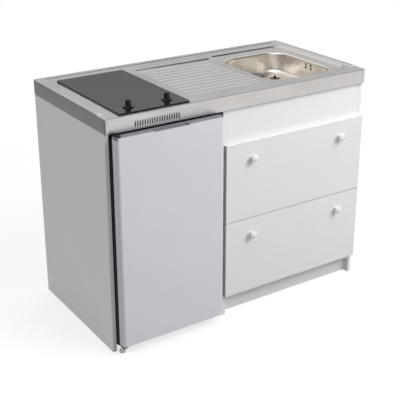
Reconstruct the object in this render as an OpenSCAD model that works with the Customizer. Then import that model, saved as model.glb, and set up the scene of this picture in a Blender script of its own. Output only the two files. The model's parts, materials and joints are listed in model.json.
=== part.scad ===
// Kitchenette unit: pressed steel worktop with bowl, drainer and glass hob,
// over a refrigerator bay and two wide drawers.
// Millimetres. X runs along the worktop, Y from the front to the wall, Z up from the floor.
// The origin is on the floor, at the middle of the unit's whole width and depth.

/* [Worktop] */
// Width of the steel worktop
worktop_w = 1200; // [1196:1:1204]
// Depth of the steel worktop
worktop_d = 600; // [596:1:604]
// Height of the worktop deck above the floor
worktop_z = 930; // [926:1:934]
// Height of the folded edges
edge_h = 58; // [57:1:59]
// Thickness of the pressed sheet
sheet_t = 1.2; // [1.0:0.1:1.4]
// Height of the raised bead along the back and the sides
rim_h = 3; // [2.5:0.5:3.5]

/* [Drainer] */
// Number of ribs on the drainer
rib_count = 11; // [7:1:11]
// Distance between two ribs
rib_pitch = 37; // [30:1:38]
// Width of a rib at its foot
rib_w = 12; // [10:1:14]
// Height of a rib
rib_h = 1.6; // [1.4:0.1:2]

/* [Bowl] */
// Inner width of the bowl
bowl_w = 316; // [300:1:318]
// Inner depth of the bowl, front to back
bowl_d = 386; // [370:1:388]
// Radius of the bowl's upright corners
bowl_r = 80; // [70:1:85]
// Depth of the bowl under the recess round it
bowl_deep = 96; // [90:1:110]

/* [Hob] */
// Width of the glass
hob_w = 290; // [288:1:292]
// Depth of the glass, front to back
hob_d = 510; // [506:1:512]
// Thickness of the glass
hob_t = 4; // [4:1:5]
// Number of air slots in the front edge
slot_count = 19; // [13:1:19]

/* [Cabinet] */
// Thickness of the boards
board_t = 16; // [15:1:16]
// Width of the refrigerator bay
bay_w = 483; // [480:1:484]
// Height of the plinth
plinth_h = 70; // [68:1:72]
// Thickness of the drawer fronts
front_t = 17.5; // [17:0.5:18]
// Gap between two drawer fronts
front_gap = 3; // [2:0.5:4]
// Length of the drawer runners
runner_l = 400; // [380:10:420]
// Diameter of the drawer knobs
knob_d = 30; // [26:1:34]

/* [Refrigerator] */
// Width of the refrigerator
fridge_w = 450; // [446:1:452]
// Thickness of its door
door_t = 36; // [34:1:38]
// How far the door stands ahead of the worktop's front edge
door_proud = 40; // [38:1:42]
// Radius of the door's front upright edges
door_r = 12; // [8:1:14]
// Insulated wall thickness
wall_t = 40; // [36:1:42]
// Width of the finger recess in the top of the door
grip_w = 150; // [120:1:170]

/* [Hidden] */
$fn = 72;
eps = 0.01;

// Front to back
front_y = -(worktop_d + door_proud) / 2;
top_y0 = front_y + door_proud;
top_y1 = top_y0 + worktop_d;
top_yc = (top_y0 + top_y1) / 2;
case_y0 = top_y0 + 12;
case_y1 = top_y1;
case_d = case_y1 - case_y0;

// Side to side
case_x = worktop_w / 2 - 3;
bay_x0 = -case_x + board_t;
bay_x1 = bay_x0 + bay_w;
drawer_x0 = bay_x1 + board_t;
drawer_x1 = case_x - board_t;
drawer_xc = (drawer_x0 + drawer_x1) / 2;

// Heights
case_z = worktop_z - edge_h;
fascia_h = 142;
rail_h = 100;

// Pressed worktop
nose_r = 4;
corner_r = 6;
flange_w = 15;
rim_w = 24;
rim_front = 60;
recess_z = worktop_z - 8;
recess_foot = 5;
lip_r = 8;
bowl_x = 349;
bowl_y = -7;
bowl_z = recess_z - bowl_deep;
bowl_foot = 24;
basin_w = 408;
basin_d = 466;
basin_x = 358;
basin_y = 14;
basin_r = 55;
drain_w = 416;
drain_d = 420;
drain_x = -7;
drain_y = 16;
drain_r = 28;
drain_left_z = worktop_z - 5;
drain_fall = 2.6;
drain_slope = atan(drain_fall / drain_w);
rib_start = 32;
rib_l = 326;
rib_r = (rib_w * rib_w / 4 + rib_h * rib_h) / (2 * rib_h);
slot_pitch = 10;
slot_w = 3.4;
slot_h = 20;
slot_z = case_z + 22;
tab_left = 17;
tab_right = 36;
tab_t = 0.5;

// Hob
hob_x = -390;
hob_y = top_y0 + 12 + hob_d / 2;
seal_t = 2;
seal_w = 8;
glass_z = worktop_z + seal_t;
glass_top = glass_z + hob_t;
cutout_w = hob_w - 18;
cutout_d = hob_d - 18;
tray_t = 1;
tray_gap = 1;
tray_h = 45;
heater_front_y = -80;
heater_front_r = 74;
heater_rear_y = 112;
heater_rear_r = 92;
heater_h = 26;
control_y = -213;
control_x = [-470, -310];
spindle_r = 3;
control_hole_r = 6;
knob_skirt_r = 20;
knob_top_r = 9.5;
knob_h = 28;

// Waste
waste_x = 433;
waste_y = 103;
waste_hole_r = 26.5;
waste_flange_r = 35;
waste_cup_r = 26;
waste_body_r = 33;
waste_body_h = 64;
pipe_r = 20;
pipe_t = 2;
pipe_z = bowl_z - 40;
bend_r = 24;
trap_y = waste_y + 160;
trap_top = pipe_z - bend_r - 10;
trap_h = 150;
trap_r = 32;
outlet_z = trap_top - 38;
dip_z = outlet_z - 60;
strainer_clear = 0.1;
overflow_z = recess_z - 24;
overflow_y = -30;
hose_r = 10;

// Refrigerator
fridge_x0 = bay_x0 + 4;
fridge_x1 = fridge_x0 + fridge_w;
fridge_xc = (fridge_x0 + fridge_x1) / 2;
fridge_z0 = 24;
fridge_z1 = case_z - 20;
fridge_y0 = front_y + door_t + 12;
fridge_y1 = 238;
cavity_z0 = fridge_z0 + wall_t;
cavity_z1 = fridge_z1 - wall_t;
cavity_x0 = fridge_x0 + wall_t;
cavity_x1 = fridge_x1 - wall_t;
cavity_y1 = fridge_y1 - wall_t;
niche_z = 230;
niche_y = 100;
step_z = niche_z + wall_t;
ledge = 8;
ledge_h = 5;
shelf_t = 5;
shelf_z = [330, 520];
shelf_y0 = -178;
door_z0 = 38;
door_z1 = case_z - 5;
cap_h = 9;
pivot_x = fridge_x0 + 14;
pivot_y = front_y + door_t / 2;
pin_r = 4;
pin_clear = 0.05;
hinge_gap = 0.6;
door_back = front_y + door_t;
grip_floor = 16;
grip_depth = 16;
grip_lip = 8;
grip_wall = 2;
grip_front_drop = 3;
gasket_w = 14;
gasket_t = fridge_y0 - door_back - 0.3;
gasket_x0 = pivot_x + 4;
gasket_x1 = fridge_x1 - 18;
gasket_z0 = 46;
gasket_z1 = fridge_z1 - 8;
liner_t = 7;
cheek_t = 14;
cheek_x0 = fridge_x0 + 57;
cheek_x1 = fridge_x1 - 63;
cheek_out = 76;
cheek_z0 = 96;
cheek_z1 = 664;
rack_z = [130, 380, 590];
rack_h = [110, 75, 60];
rack_d = [92, 80, 68];
rack_t = 2.5;
icebox_x0 = cavity_x0 + 6;
icebox_x1 = cavity_x1 - 6;
icebox_y0 = -150;
icebox_y1 = cavity_y1 - 8;
icebox_z0 = cavity_z1 - 118;
icebox_t = 2;
flap_axis_y = icebox_y0 - 6;
flap_axis_z = cavity_z1 - 9;
flap_pin_r = 2;
flap_t = 4;
dial_y = -70;
dial_z = 630;
dial_r = 17;
coil_z0 = 280;
coil_pitch = 50;
coil_rows = 11;
coil_r = 2.5;
wire_r = 1;
wire_count = 19;
coil_y = fridge_y1 + 12;

// Drawers
drawer_fronts = 2;
fronts_z0 = plinth_h + board_t + 1;
fronts_z1 = case_z - fascia_h + 2;
front_h = (fronts_z1 - fronts_z0 - front_gap) / drawer_fronts;
front_x0 = bay_x1 + 4;
front_x1 = case_x - 3;
front_back = case_y0 - 0.5;
side_gap = 13;
side_t = 12;
box_h = 190;
box_lift = 20;
bottom_t = 6;
knob_x = 222;
knob_drop = 67;
knob_out = 25;
channel_t = 1.2;
channel_h = 32;
channel_w = 10.4;
roller_r = 9;
roller_w = 8.6;
roller_gap = 0.3;

// ---------------------------------------------------------------- shared shapes

// Box given by its lowest and highest corners
module slab(low, high) {
    translate(low) cube(high - low);
}

// Rectangle with round corners, centred
module rounded_rect(w, d, r) {
    square([w, d - 2 * r], center = true);
    square([w - 2 * r, d], center = true);
    for (x = [-1, 1], y = [-1, 1])
        translate([x * (w / 2 - r), y * (d / 2 - r)]) circle(r);
}

// Sweeps a profile round a rounded rectangle. In the profile, x is the distance
// outwards from the rectangle's edge and y is the height
module swept_frame(w, d, r) {
    corners = [[1, 1], [-1, 1], [-1, -1], [1, -1]];
    for (i = [0:3]) {
        reach = i % 2 == 0 ? w / 2 : d / 2;
        run = i % 2 == 0 ? d - 2 * r : w - 2 * r;
        translate([corners[i][0] * (w / 2 - r), corners[i][1] * (d / 2 - r), 0])
            rotate([0, 0, 90 * i])
                rotate_extrude(angle = 90)
                    translate([r, 0]) children();
        rotate([0, 0, 90 * i])
            rotate([90, 0, 0])
                linear_extrude(run, center = true)
                    translate([reach, 0]) children();
    }
}

// Solid pan whose top is at z = 0, with upright corners of radius r and a rounded foot
module pan(w, d, r, h, foot) {
    translate([0, 0, foot - h]) linear_extrude(h - foot) rounded_rect(w, d, r);
    translate([0, 0, -h])
        linear_extrude(foot + eps) rounded_rect(w - 2 * foot, d - 2 * foot, r - foot);
    translate([0, 0, foot - h])
        swept_frame(w - 2 * foot, d - 2 * foot, r - foot)
            intersection() {
                circle(foot);
                translate([0, -foot]) square(foot);
            }
}

// Straight round bar between two points
module rod(from, to, r) {
    v = to - from;
    l = norm(v);
    translate(from)
        rotate([0, acos(v[2] / l), atan2(v[1], v[0])])
            cylinder(r = r, h = l);
}

// Upright slab seen from above: round front corners and tighter back corners
module door_outline(w, d, r_front, r_back) {
    translate([-w / 2 + r_front, -d / 2]) square([w - 2 * r_front, d]);
    translate([-w / 2, -d / 2 + r_front]) square([w, d - r_front - r_back]);
    translate([-w / 2 + r_back, 0]) square([w - 2 * r_back, d / 2]);
    for (s = [-1, 1]) {
        translate([s * (w / 2 - r_front), -d / 2 + r_front]) circle(r_front);
        translate([s * (w / 2 - r_back), d / 2 - r_back]) circle(r_back);
    }
}

// ---------------------------------------------------------------- cabinet

module side_board(x) {
    color("gainsboro") slab([x, case_y0, 0], [x + board_t, case_y1, case_z]);
}

module left_side_panel() {
    side_board(-case_x);
}

module middle_panel() {
    side_board(bay_x1);
}

module right_side_panel() {
    side_board(drawer_x1);
}

module base_board() {
    color("gainsboro")
        slab([drawer_x0, case_y0, plinth_h], [drawer_x1, case_y1, plinth_h + board_t]);
}

module plinth_board() {
    plinth_y = case_y0 + 27;
    color("gainsboro") slab([drawer_x0, plinth_y, 0], [drawer_x1, plinth_y + board_t, plinth_h]);
}

module fascia_board() {
    color("white")
        slab([drawer_x0, case_y0, case_z - fascia_h], [drawer_x1, case_y0 + board_t, case_z]);
}

// Rail between two uprights at the wall, drilled for two wall screws
module rear_rail(x0, x1, hole_span) {
    color("gainsboro")
        difference() {
            slab([x0, case_y1 - board_t, case_z - rail_h], [x1, case_y1, case_z]);
            for (s = [-1, 1])
                translate([(x0 + x1) / 2 + s * hole_span / 2, case_y1 + 1, case_z - rail_h / 2])
                    rotate([90, 0, 0]) cylinder(r = 3.5, h = board_t + 2);
        }
}

module rear_rails() {
    rear_rail(bay_x0, bay_x1, 400);
    rear_rail(drawer_x0, drawer_x1, 560);
}

// ---------------------------------------------------------------- worktop

// Block with round upright corners and a rounded top edge. With g = 0 it is the outer
// face of the pressing, and with g = sheet_t it is the inner face
module edge_block(top, g) {
    bottom = g > 0 ? case_z + sheet_t : case_z;
    translate([0, top_yc, bottom])
        mirror([0, 0, 1])
            pan(worktop_w - 2 * g, worktop_d - 2 * g, corner_r - g, top - g - bottom, nose_r - g);
}

// Raised band along the left, back and right edges, open towards the front
module rim_band(g) {
    inner_w = worktop_w - 2 * rim_w + 2 * g;
    inner_y1 = top_y1 - rim_w + g;
    turn = 22;
    intersection() {
        edge_block(worktop_z + rim_h, g);
        translate([0, 0, worktop_z - 20])
            linear_extrude(40)
                difference() {
                    translate([-worktop_w, top_y0 + rim_front]) square([2 * worktop_w, worktop_d]);
                    translate([-inner_w / 2, top_y0]) square([inner_w, inner_y1 - turn - top_y0]);
                    translate([-inner_w / 2 + turn, top_y0])
                        square([inner_w - 2 * turn, inner_y1 - top_y0]);
                    for (s = [-1, 1])
                        translate([s * (inner_w / 2 - turn), inner_y1 - turn]) circle(turn);
                }
    }
}

// Drainer: a floor that falls towards the bowl, with long round-ended ribs standing on it.
// It is drawn level, then tilted about the top of its floor
module drainer_cut(g) {
    sink = rib_r - rib_h;
    translate([drain_x - drain_w / 2, drain_y, drain_left_z])
        rotate([0, drain_slope, 0])
            difference() {
                translate([drain_w / 2, 0, -g])
                    linear_extrude(20)
                        rounded_rect(drain_w + 2 * g, drain_d + 2 * g, drain_r + g);
                for (i = [0:rib_count - 1])
                    translate([rib_start, (i - (rib_count - 1) / 2) * rib_pitch, -sink])
                        rotate([0, 90, 0])
                            rotate_extrude()
                                difference() {
                                    union() {
                                        square([rib_r - g, rib_l]);
                                        circle(rib_r - g);
                                        translate([0, rib_l]) circle(rib_r - g);
                                    }
                                    translate([-2 * rib_r, -2 * rib_r])
                                        square([2 * rib_r, rib_l + 4 * rib_r]);
                                }
            }
}

// Outer form of the pressing, solid below
module pressing(g) {
    difference() {
        union() {
            edge_block(worktop_z, g);
            rim_band(g);
        }
        drainer_cut(g);
        translate([basin_x, basin_y, worktop_z + 10])
            pan(basin_w + 2 * g, basin_d + 2 * g, basin_r + g,
                worktop_z + 10 - recess_z + g, recess_foot + g);
    }
}

// Column that holds the flat of the sunk field, just inside the rounded foot of its wall
module field_column() {
    inset = recess_foot + 0.5;
    translate([basin_x, basin_y, recess_z - 20])
        linear_extrude(60) rounded_rect(basin_w - 2 * inset, basin_d - 2 * inset, basin_r - inset);
}

module worktop_sheet() {
    color("silver") {
        difference() {
            pressing(0);
            pressing(sheet_t);
            field_column();
            translate([0, top_yc, case_z - 1])
                linear_extrude(sheet_t + 2)
                    square([worktop_w - 2 * flange_w, worktop_d - 2 * flange_w], center = true);
            translate([hob_x, hob_y, recess_z - 10])
                linear_extrude(40) rounded_rect(cutout_w, cutout_d, 6);
            for (i = [0:slot_count - 1])
                translate([hob_x + (i - (slot_count - 1) / 2) * slot_pitch, top_y0, slot_z])
                    cube([slot_w, 4 * sheet_t, slot_h], center = true);
        }
        // ends of the folded side edges, lapped over the front edge
        slab([-worktop_w / 2 + corner_r, top_y0 - tab_t, case_z + 1],
             [-worktop_w / 2 + tab_left, top_y0 + sheet_t / 2, worktop_z - nose_r - 1]);
        slab([worktop_w / 2 - tab_right, top_y0 - tab_t, case_z + 1],
             [worktop_w / 2 - corner_r, top_y0 + sheet_t / 2, worktop_z - nose_r - 1]);
    }
}

// Flat of the sunk field, seam-welded along the foot of the wall that the pressing has round it
module sink_surround() {
    open_w = bowl_w + 2 * lip_r;
    open_d = bowl_d + 2 * lip_r;
    color("silver")
        difference() {
            intersection() {
                pressing(0);
                field_column();
            }
            pressing(sheet_t);
            translate([bowl_x, bowl_y, recess_z - 5])
                linear_extrude(10) rounded_rect(open_w, open_d, bowl_r + lip_r);
        }
}

// Softwood battens that carry the deck on the cabinet
module worktop_battens() {
    y0 = top_y0 + 20;
    y1 = top_y1 - 20;
    under = worktop_z - sheet_t;
    batten_top = drain_left_z - sheet_t - 1.1;
    color("burlywood") {
        slab([-worktop_w / 2 + 8, y0, case_z + sheet_t], [-worktop_w / 2 + 48, y1, under]);
        slab([worktop_w / 2 - 34, y0, case_z + sheet_t], [worktop_w / 2 - 8, y1, under]);
        slab([bay_x1 - 10, y0, case_z], [drawer_x0 + 10, y1, batten_top]);
    }
}

// ---------------------------------------------------------------- sink

// Rolled lip that leads from the sunk field down into the bowl, and is welded to the field
module bowl_lip() {
    translate([bowl_x, bowl_y, recess_z - lip_r])
        swept_frame(bowl_w, bowl_d, bowl_r)
            translate([lip_r, 0])
                intersection() {
                    difference() {
                        circle(lip_r);
                        circle(lip_r - sheet_t);
                    }
                    translate([-lip_r, 0]) square(lip_r);
                }
}

module sink_bowl() {
    top = recess_z - lip_r;
    slot_reach = 5.5;
    slot_rise = 7;
    color("silver") {
        difference() {
            translate([bowl_x, bowl_y, top])
                pan(bowl_w + 2 * sheet_t, bowl_d + 2 * sheet_t, bowl_r + sheet_t,
                    top - bowl_z + sheet_t, bowl_foot + sheet_t);
            translate([bowl_x, bowl_y, top + eps])
                pan(bowl_w, bowl_d, bowl_r, top - bowl_z + eps, bowl_foot);
            translate([waste_x, waste_y, bowl_z - 10]) cylinder(r = waste_hole_r, h = 20);
            // two upright overflow slots with round ends
            for (s = [-1, 1], t = [-1, 1])
                translate([bowl_x + bowl_w / 2 - 5, overflow_y + s * 16, overflow_z + t * slot_rise])
                    rotate([0, 90, 0]) cylinder(r = slot_reach, h = 10);
            for (s = [-1, 1])
                translate([bowl_x + bowl_w / 2, overflow_y + s * 16, overflow_z])
                    cube([10, 2 * slot_reach, 2 * slot_rise], center = true);
        }
        bowl_lip();
    }
}

module waste_flange() {
    color("silver")
        translate([waste_x, waste_y, 0])
            rotate_extrude() {
                translate([waste_cup_r - 1.4, bowl_z]) square([waste_flange_r - waste_cup_r + 1.4, 1.4]);
                translate([waste_cup_r - 1.4, bowl_z - 24]) square([1.4, 25]);
                translate([waste_cup_r - 6, bowl_z - 6]) square([5, 1.4]);
            }
}

// Lift-out strainer: a drilled plate with a knob, resting on the flange's inner ledge
module waste_strainer() {
    plate_r = waste_cup_r - 2.2;
    plate_z = bowl_z - 6 + 1.4 + strainer_clear;
    color("dimgray")
        translate([waste_x, waste_y, plate_z])
            difference() {
                union() {
                    cylinder(r = plate_r, h = 2);
                    cylinder(r = 3, h = 12);
                    translate([0, 0, 14]) sphere(5.5);
                }
                for (ring = [[10, 6], [17.5, 12]], i = [0:ring[1] - 1])
                    rotate([0, 0, 360 / ring[1] * i])
                        translate([ring[0], 0, -1]) cylinder(r = 2.2, h = 4);
            }
}

module waste_body() {
    top = bowl_z - sheet_t;
    color("white")
        difference() {
            union() {
                translate([waste_x, waste_y, top - waste_body_h])
                    cylinder(r = waste_body_r, h = waste_body_h);
                translate([waste_x, waste_y, top - 8]) cylinder(r = waste_body_r + 5, h = 8);
                rod([waste_x, waste_y, pipe_z], [waste_x, waste_y + 62, pipe_z], pipe_r + 4);
                rod([waste_x, waste_y, pipe_z], [waste_x + 52, waste_y, pipe_z], hose_r - 2);
            }
            translate([waste_x, waste_y, top - waste_body_h + 3])
                cylinder(r = waste_body_r - 3, h = waste_body_h);
            rod([waste_x, waste_y, pipe_z], [waste_x, waste_y + 63, pipe_z], pipe_r - pipe_t);
            rod([waste_x, waste_y + 40, pipe_z], [waste_x, waste_y + 63, pipe_z], pipe_r);
            rod([waste_x, waste_y, pipe_z], [waste_x + 53, waste_y, pipe_z], hose_r - 4);
        }
}

// Pipe that runs to the wall under the bowl, turns down and dips into the trap
module waste_pipe() {
    start_y = waste_y + 40;
    bend_y = trap_y - bend_r;
    color("white")
        difference() {
            union() {
                rod([waste_x, start_y, pipe_z], [waste_x, bend_y, pipe_z], pipe_r);
                translate([waste_x, bend_y, pipe_z - bend_r])
                    rotate([90, 0, 90]) rotate_extrude(angle = 90) translate([bend_r, 0]) circle(pipe_r);
                rod([waste_x, trap_y, dip_z], [waste_x, trap_y, pipe_z - bend_r], pipe_r);
            }
            rod([waste_x, start_y - 1, pipe_z], [waste_x, bend_y, pipe_z], pipe_r - pipe_t);
            translate([waste_x, bend_y, pipe_z - bend_r])
                rotate([90, 0, 90])
                    rotate_extrude(angle = 90) translate([bend_r, 0]) circle(pipe_r - pipe_t);
            rod([waste_x, trap_y, dip_z - 1], [waste_x, trap_y, pipe_z - bend_r], pipe_r - pipe_t);
        }
}

// Bottle trap with a screwed cup and a side outlet that ends at the wall
module trap_body() {
    color("white")
        translate([waste_x, trap_y, 0])
            difference() {
                union() {
                    translate([0, 0, trap_top - trap_h + 18]) cylinder(r = trap_r, h = trap_h - 18);
                    translate([0, 0, trap_top - trap_h]) cylinder(r = trap_r + 3, h = 30);
                    translate([0, 0, trap_top - trap_h - 4]) cylinder(r1 = trap_r - 10, r2 = trap_r, h = 4);
                    translate([0, 0, trap_top - 18]) cylinder(r = trap_r + 2, h = 18);
                    rod([0, 0, outlet_z], [0, top_y1 - trap_y, outlet_z], pipe_r);
                    rod([0, trap_r - 8, outlet_z], [0, trap_r + 6, outlet_z], pipe_r + 6);
                    for (i = [0:11])
                        rotate([0, 0, 30 * i])
                            translate([trap_r + 3, 0, trap_top - trap_h + 4]) cylinder(r = 1.6, h = 22);
                }
                translate([0, 0, trap_top - trap_h + 3]) cylinder(r = trap_r - 3, h = trap_h - 17);
                translate([0, 0, trap_top - 15]) cylinder(r = pipe_r, h = 16);
                rod([0, 0, outlet_z], [0, top_y1 - trap_y + 1, outlet_z], pipe_r - pipe_t);
            }
}

// Cap behind the overflow slots, and the hose that runs down to the waste body
module overflow_pipe() {
    wall_x = bowl_x + bowl_w / 2 + sheet_t;
    cap_z = overflow_z;
    cap_wall = 2.4;
    cap_h = 26;
    cap_w = 50;
    hose_x = wall_x + 13;
    elbow = [hose_x, overflow_y, pipe_z];
    inlet = [waste_x + 52, waste_y, pipe_z];
    turn = [hose_x, waste_y, pipe_z];
    color("dimgray") {
        difference() {
            translate([wall_x, overflow_y, cap_z])
                rotate([0, 90, 0])
                    linear_extrude(14) rounded_rect(cap_h + 2 * cap_wall, cap_w + 2 * cap_wall, 9);
            translate([wall_x - 1, overflow_y, cap_z])
                rotate([0, 90, 0]) linear_extrude(15 - cap_wall) rounded_rect(cap_h, cap_w, 6.6);
        }
        rod([hose_x, overflow_y, cap_z - cap_h / 2 - cap_wall / 2], elbow, hose_r);
        translate(elbow) sphere(hose_r);
        rod(elbow, turn, hose_r);
        translate(turn) sphere(hose_r);
        rod(turn, inlet, hose_r);
    }
}

// ---------------------------------------------------------------- hob

module hob_glass() {
    color("darkslategray")
        difference() {
            translate([hob_x, hob_y, glass_z]) linear_extrude(hob_t) rounded_rect(hob_w, hob_d, 4);
            for (x = control_x)
                translate([x, control_y, glass_z - 1]) cylinder(r = control_hole_r, h = hob_t + 2);
        }
}

module hob_seal() {
    color("black")
        translate([hob_x, hob_y, worktop_z])
            linear_extrude(seal_t)
                difference() {
                    rounded_rect(hob_w, hob_d, 4);
                    square([hob_w - 2 * seal_w, hob_d - 2 * seal_w], center = true);
                }
}

// Sheet box that hangs in the cut-out and holds the heaters and the controls
module hob_tray() {
    w = cutout_w - 2 * tray_gap;
    d = cutout_d - 2 * tray_gap;
    color("lightgray")
        union() {
            translate([hob_x, hob_y, glass_z - tray_h])
                difference() {
                    linear_extrude(tray_h) rounded_rect(w, d, 5);
                    translate([0, 0, tray_t])
                        linear_extrude(tray_h) rounded_rect(w - 2 * tray_t, d - 2 * tray_t, 4);
                    for (i = [-4:4])
                        translate([i * 20, -d / 2, tray_h / 2]) cube([8, 6, 24], center = true);
                }
            // posts that press the heaters against the glass
            for (y = [heater_front_y, heater_rear_y], s = [-1, 1])
                translate([hob_x + s * 50, y, glass_z - tray_h + tray_t / 2])
                    cylinder(r = 5, h = tray_h - heater_h - tray_t / 2);
        }
}

// Radiant heater under the glass: pan, heating rings and the limiter rod across them
module radiant_heater(y, r) {
    rings = 4;
    translate([hob_x, y, glass_z - heater_h]) {
        color("silver")
            difference() {
                cylinder(r = r, h = heater_h);
                translate([0, 0, 10]) cylinder(r = r - 8, h = heater_h);
            }
        color("orangered")
            for (i = [1:rings])
                rotate_extrude() translate([(r - 12) * i / rings, 11]) square([1.5, 7], center = true);
        color("dimgray") rod([-r + 4, 0, heater_h - 5], [r - 4, 0, heater_h - 5], 1.5);
    }
}

module heater_front() {
    radiant_heater(heater_front_y, heater_front_r);
}

module heater_rear() {
    radiant_heater(heater_rear_y, heater_rear_r);
}

module energy_regulators() {
    body = 42;
    base_z = glass_z - tray_h + tray_t;
    color("beige")
        for (x = control_x)
            difference() {
                union() {
                    slab([x - body / 2, control_y - body / 2, base_z],
                         [x + body / 2, control_y + body / 2, base_z + 32]);
                    translate([x, control_y, base_z + 32]) cylinder(r = 5.5, h = 9);
                }
                translate([x, control_y, base_z + 18])
                    cylinder(r = spindle_r + pin_clear, h = 30);
            }
}

// Control knob: thin skirt, narrow grip and the spindle that it turns
module hob_knob(x) {
    skirt_h = 4;
    base_z = glass_z - tray_h + tray_t;
    translate([x, control_y, 0]) {
        color("black") {
            translate([0, 0, glass_top + 0.5])
                rotate_extrude() {
                    square([knob_skirt_r - 2, skirt_h]);
                    square([knob_skirt_r, skirt_h - 2]);
                    translate([knob_skirt_r - 2, skirt_h - 2]) circle(2);
                    polygon([[0, skirt_h], [knob_top_r + 1.5, skirt_h],
                             [knob_top_r, knob_h - 2], [knob_top_r - 2, knob_h], [0, knob_h]]);
                    translate([knob_top_r - 2, knob_h - 2]) circle(2);
                }
            translate([0, -knob_skirt_r / 2 + 1, glass_top + 0.5 + knob_h - 4])
                cube([2.4, 3, 8], center = true);
        }
        color("silver")
            translate([0, 0, base_z + 19]) cylinder(r = spindle_r, h = glass_top + 1 - base_z - 19);
    }
}

module hob_knob_left() {
    hob_knob(control_x[0]);
}

module hob_knob_right() {
    hob_knob(control_x[1]);
}

// ---------------------------------------------------------------- refrigerator

// Insulated cabinet with a lower ceiling over the compressor niche and moulded shelf ledges
module fridge_cabinet() {
    color("whitesmoke")
        difference() {
            slab([fridge_x0, fridge_y0, fridge_z0], [fridge_x1, fridge_y1, fridge_z1]);
            difference() {
                union() {
                    slab([cavity_x0, fridge_y0 - 1, step_z], [cavity_x1, cavity_y1, cavity_z1]);
                    slab([cavity_x0, fridge_y0 - 1, cavity_z0],
                         [cavity_x1, niche_y - wall_t, step_z + eps]);
                }
                for (z = shelf_z)
                    for (x = [cavity_x0 - eps, cavity_x1 - ledge])
                        slab([x, shelf_y0, z - ledge_h], [x + ledge + eps, cavity_y1, z]);
            }
            slab([cavity_x0, niche_y, fridge_z0 - 1], [cavity_x1, fridge_y1 + 1, niche_z]);
        }
}

// Folded aluminium freezer box under the ceiling, with two ears that carry the flap
module icebox() {
    ear_y = flap_axis_y - 7;
    color("lightsteelblue")
        difference() {
            union() {
                difference() {
                    slab([icebox_x0, icebox_y0, icebox_z0], [icebox_x1, icebox_y1, cavity_z1]);
                    slab([icebox_x0 + icebox_t, icebox_y0 - 1, icebox_z0 + icebox_t],
                         [icebox_x1 - icebox_t, icebox_y1 - icebox_t, cavity_z1 - icebox_t]);
                }
                for (x = [icebox_x0, icebox_x1 - icebox_t])
                    slab([x, ear_y, flap_axis_z - 9], [x + icebox_t, icebox_y0 + eps, cavity_z1]);
            }
            translate([icebox_x0 - 1, flap_axis_y, flap_axis_z])
                rotate([0, 90, 0])
                    cylinder(r = flap_pin_r + pin_clear, h = icebox_x1 - icebox_x0 + 2);
        }
}

module icebox_flap() {
    x0 = icebox_x0 + icebox_t + 0.5;
    x1 = icebox_x1 - icebox_t - 0.5;
    color("azure")
        difference() {
            union() {
                slab([x0, flap_axis_y - flap_t / 2, icebox_z0 + 4],
                     [x1, flap_axis_y + flap_t / 2, flap_axis_z]);
                rod([x0, flap_axis_y, flap_axis_z], [x1, flap_axis_y, flap_axis_z], 2.8);
                rod([icebox_x0 + 0.2, flap_axis_y, flap_axis_z],
                    [icebox_x1 - 0.2, flap_axis_y, flap_axis_z], flap_pin_r);
            }
            // shallow finger grip along the lower edge
            translate([(x0 + x1) / 2, flap_axis_y - flap_t / 2, icebox_z0 + 18])
                cube([90, 3, 14], center = true);
        }
}

// Glass shelf with a moulded rim along its front and back edges
module fridge_shelf(z) {
    x0 = cavity_x0 + 0.5;
    x1 = cavity_x1 - 0.5;
    y1 = cavity_y1 - 1;
    color("lightcyan") slab([x0, shelf_y0 + 10, z], [x1, y1 - 6, z + shelf_t - 1]);
    color("white") {
        slab([x0, shelf_y0, z], [x1, shelf_y0 + 12, z + shelf_t + 2]);
        slab([x0, y1 - 8, z], [x1, y1, z + shelf_t + 4]);
    }
}

module lower_shelf() {
    fridge_shelf(shelf_z[0]);
}

module upper_shelf() {
    fridge_shelf(shelf_z[1]);
}

module thermostat_housing() {
    depth = 30;
    color("white")
        difference() {
            slab([cavity_x1 - depth, dial_y - 42, dial_z - 30], [cavity_x1, dial_y + 42, dial_z + 30]);
            translate([cavity_x1 - depth - 1, dial_y, dial_z])
                rotate([0, 90, 0]) cylinder(r = flap_pin_r + 1 + pin_clear, h = 14);
        }
}

// Thermostat dial on the housing's inner face, turning about X
module thermostat_dial() {
    face_x = cavity_x1 - 30;
    color("ivory")
        translate([face_x, dial_y, dial_z])
            rotate([0, -90, 0]) {
                translate([0, 0, 0.4]) cylinder(r = dial_r, h = 4);
                translate([0, 0, 0.4]) cylinder(r = dial_r - 5, h = 12);
                translate([0, 0, 10]) cube([2 * dial_r - 12, 4, 5], center = true);
                translate([0, 0, -12]) cylinder(r = flap_pin_r + 1, h = 13);
            }
}

// Hermetic compressor on a tray across the niche
module compressor() {
    shell_r = 56;
    cy = (niche_y + fridge_y1) / 2 + 6;
    tray_z = fridge_z0 + 6;
    color("dimgray") {
        slab([cavity_x0, niche_y, fridge_z0], [cavity_x1, fridge_y1, tray_z]);
        translate([fridge_xc - 40, cy, 0]) {
            for (x = [-44, 44], y = [-36, 36])
                translate([x, y, tray_z]) cylinder(r = 9, h = 14);
            translate([-56, -46, tray_z + 14]) cube([112, 92, 4]);
            translate([0, 0, tray_z + 18]) cylinder(r = shell_r, h = 96);
            translate([0, 0, tray_z + 114])
                intersection() {
                    translate([0, 0, -60]) sphere(sqrt(60 * 60 + shell_r * shell_r));
                    cylinder(r = shell_r, h = 60);
                }
            translate([shell_r - 6, -18, tray_z + 50]) cube([26, 36, 44]);
        }
    }
}

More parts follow.
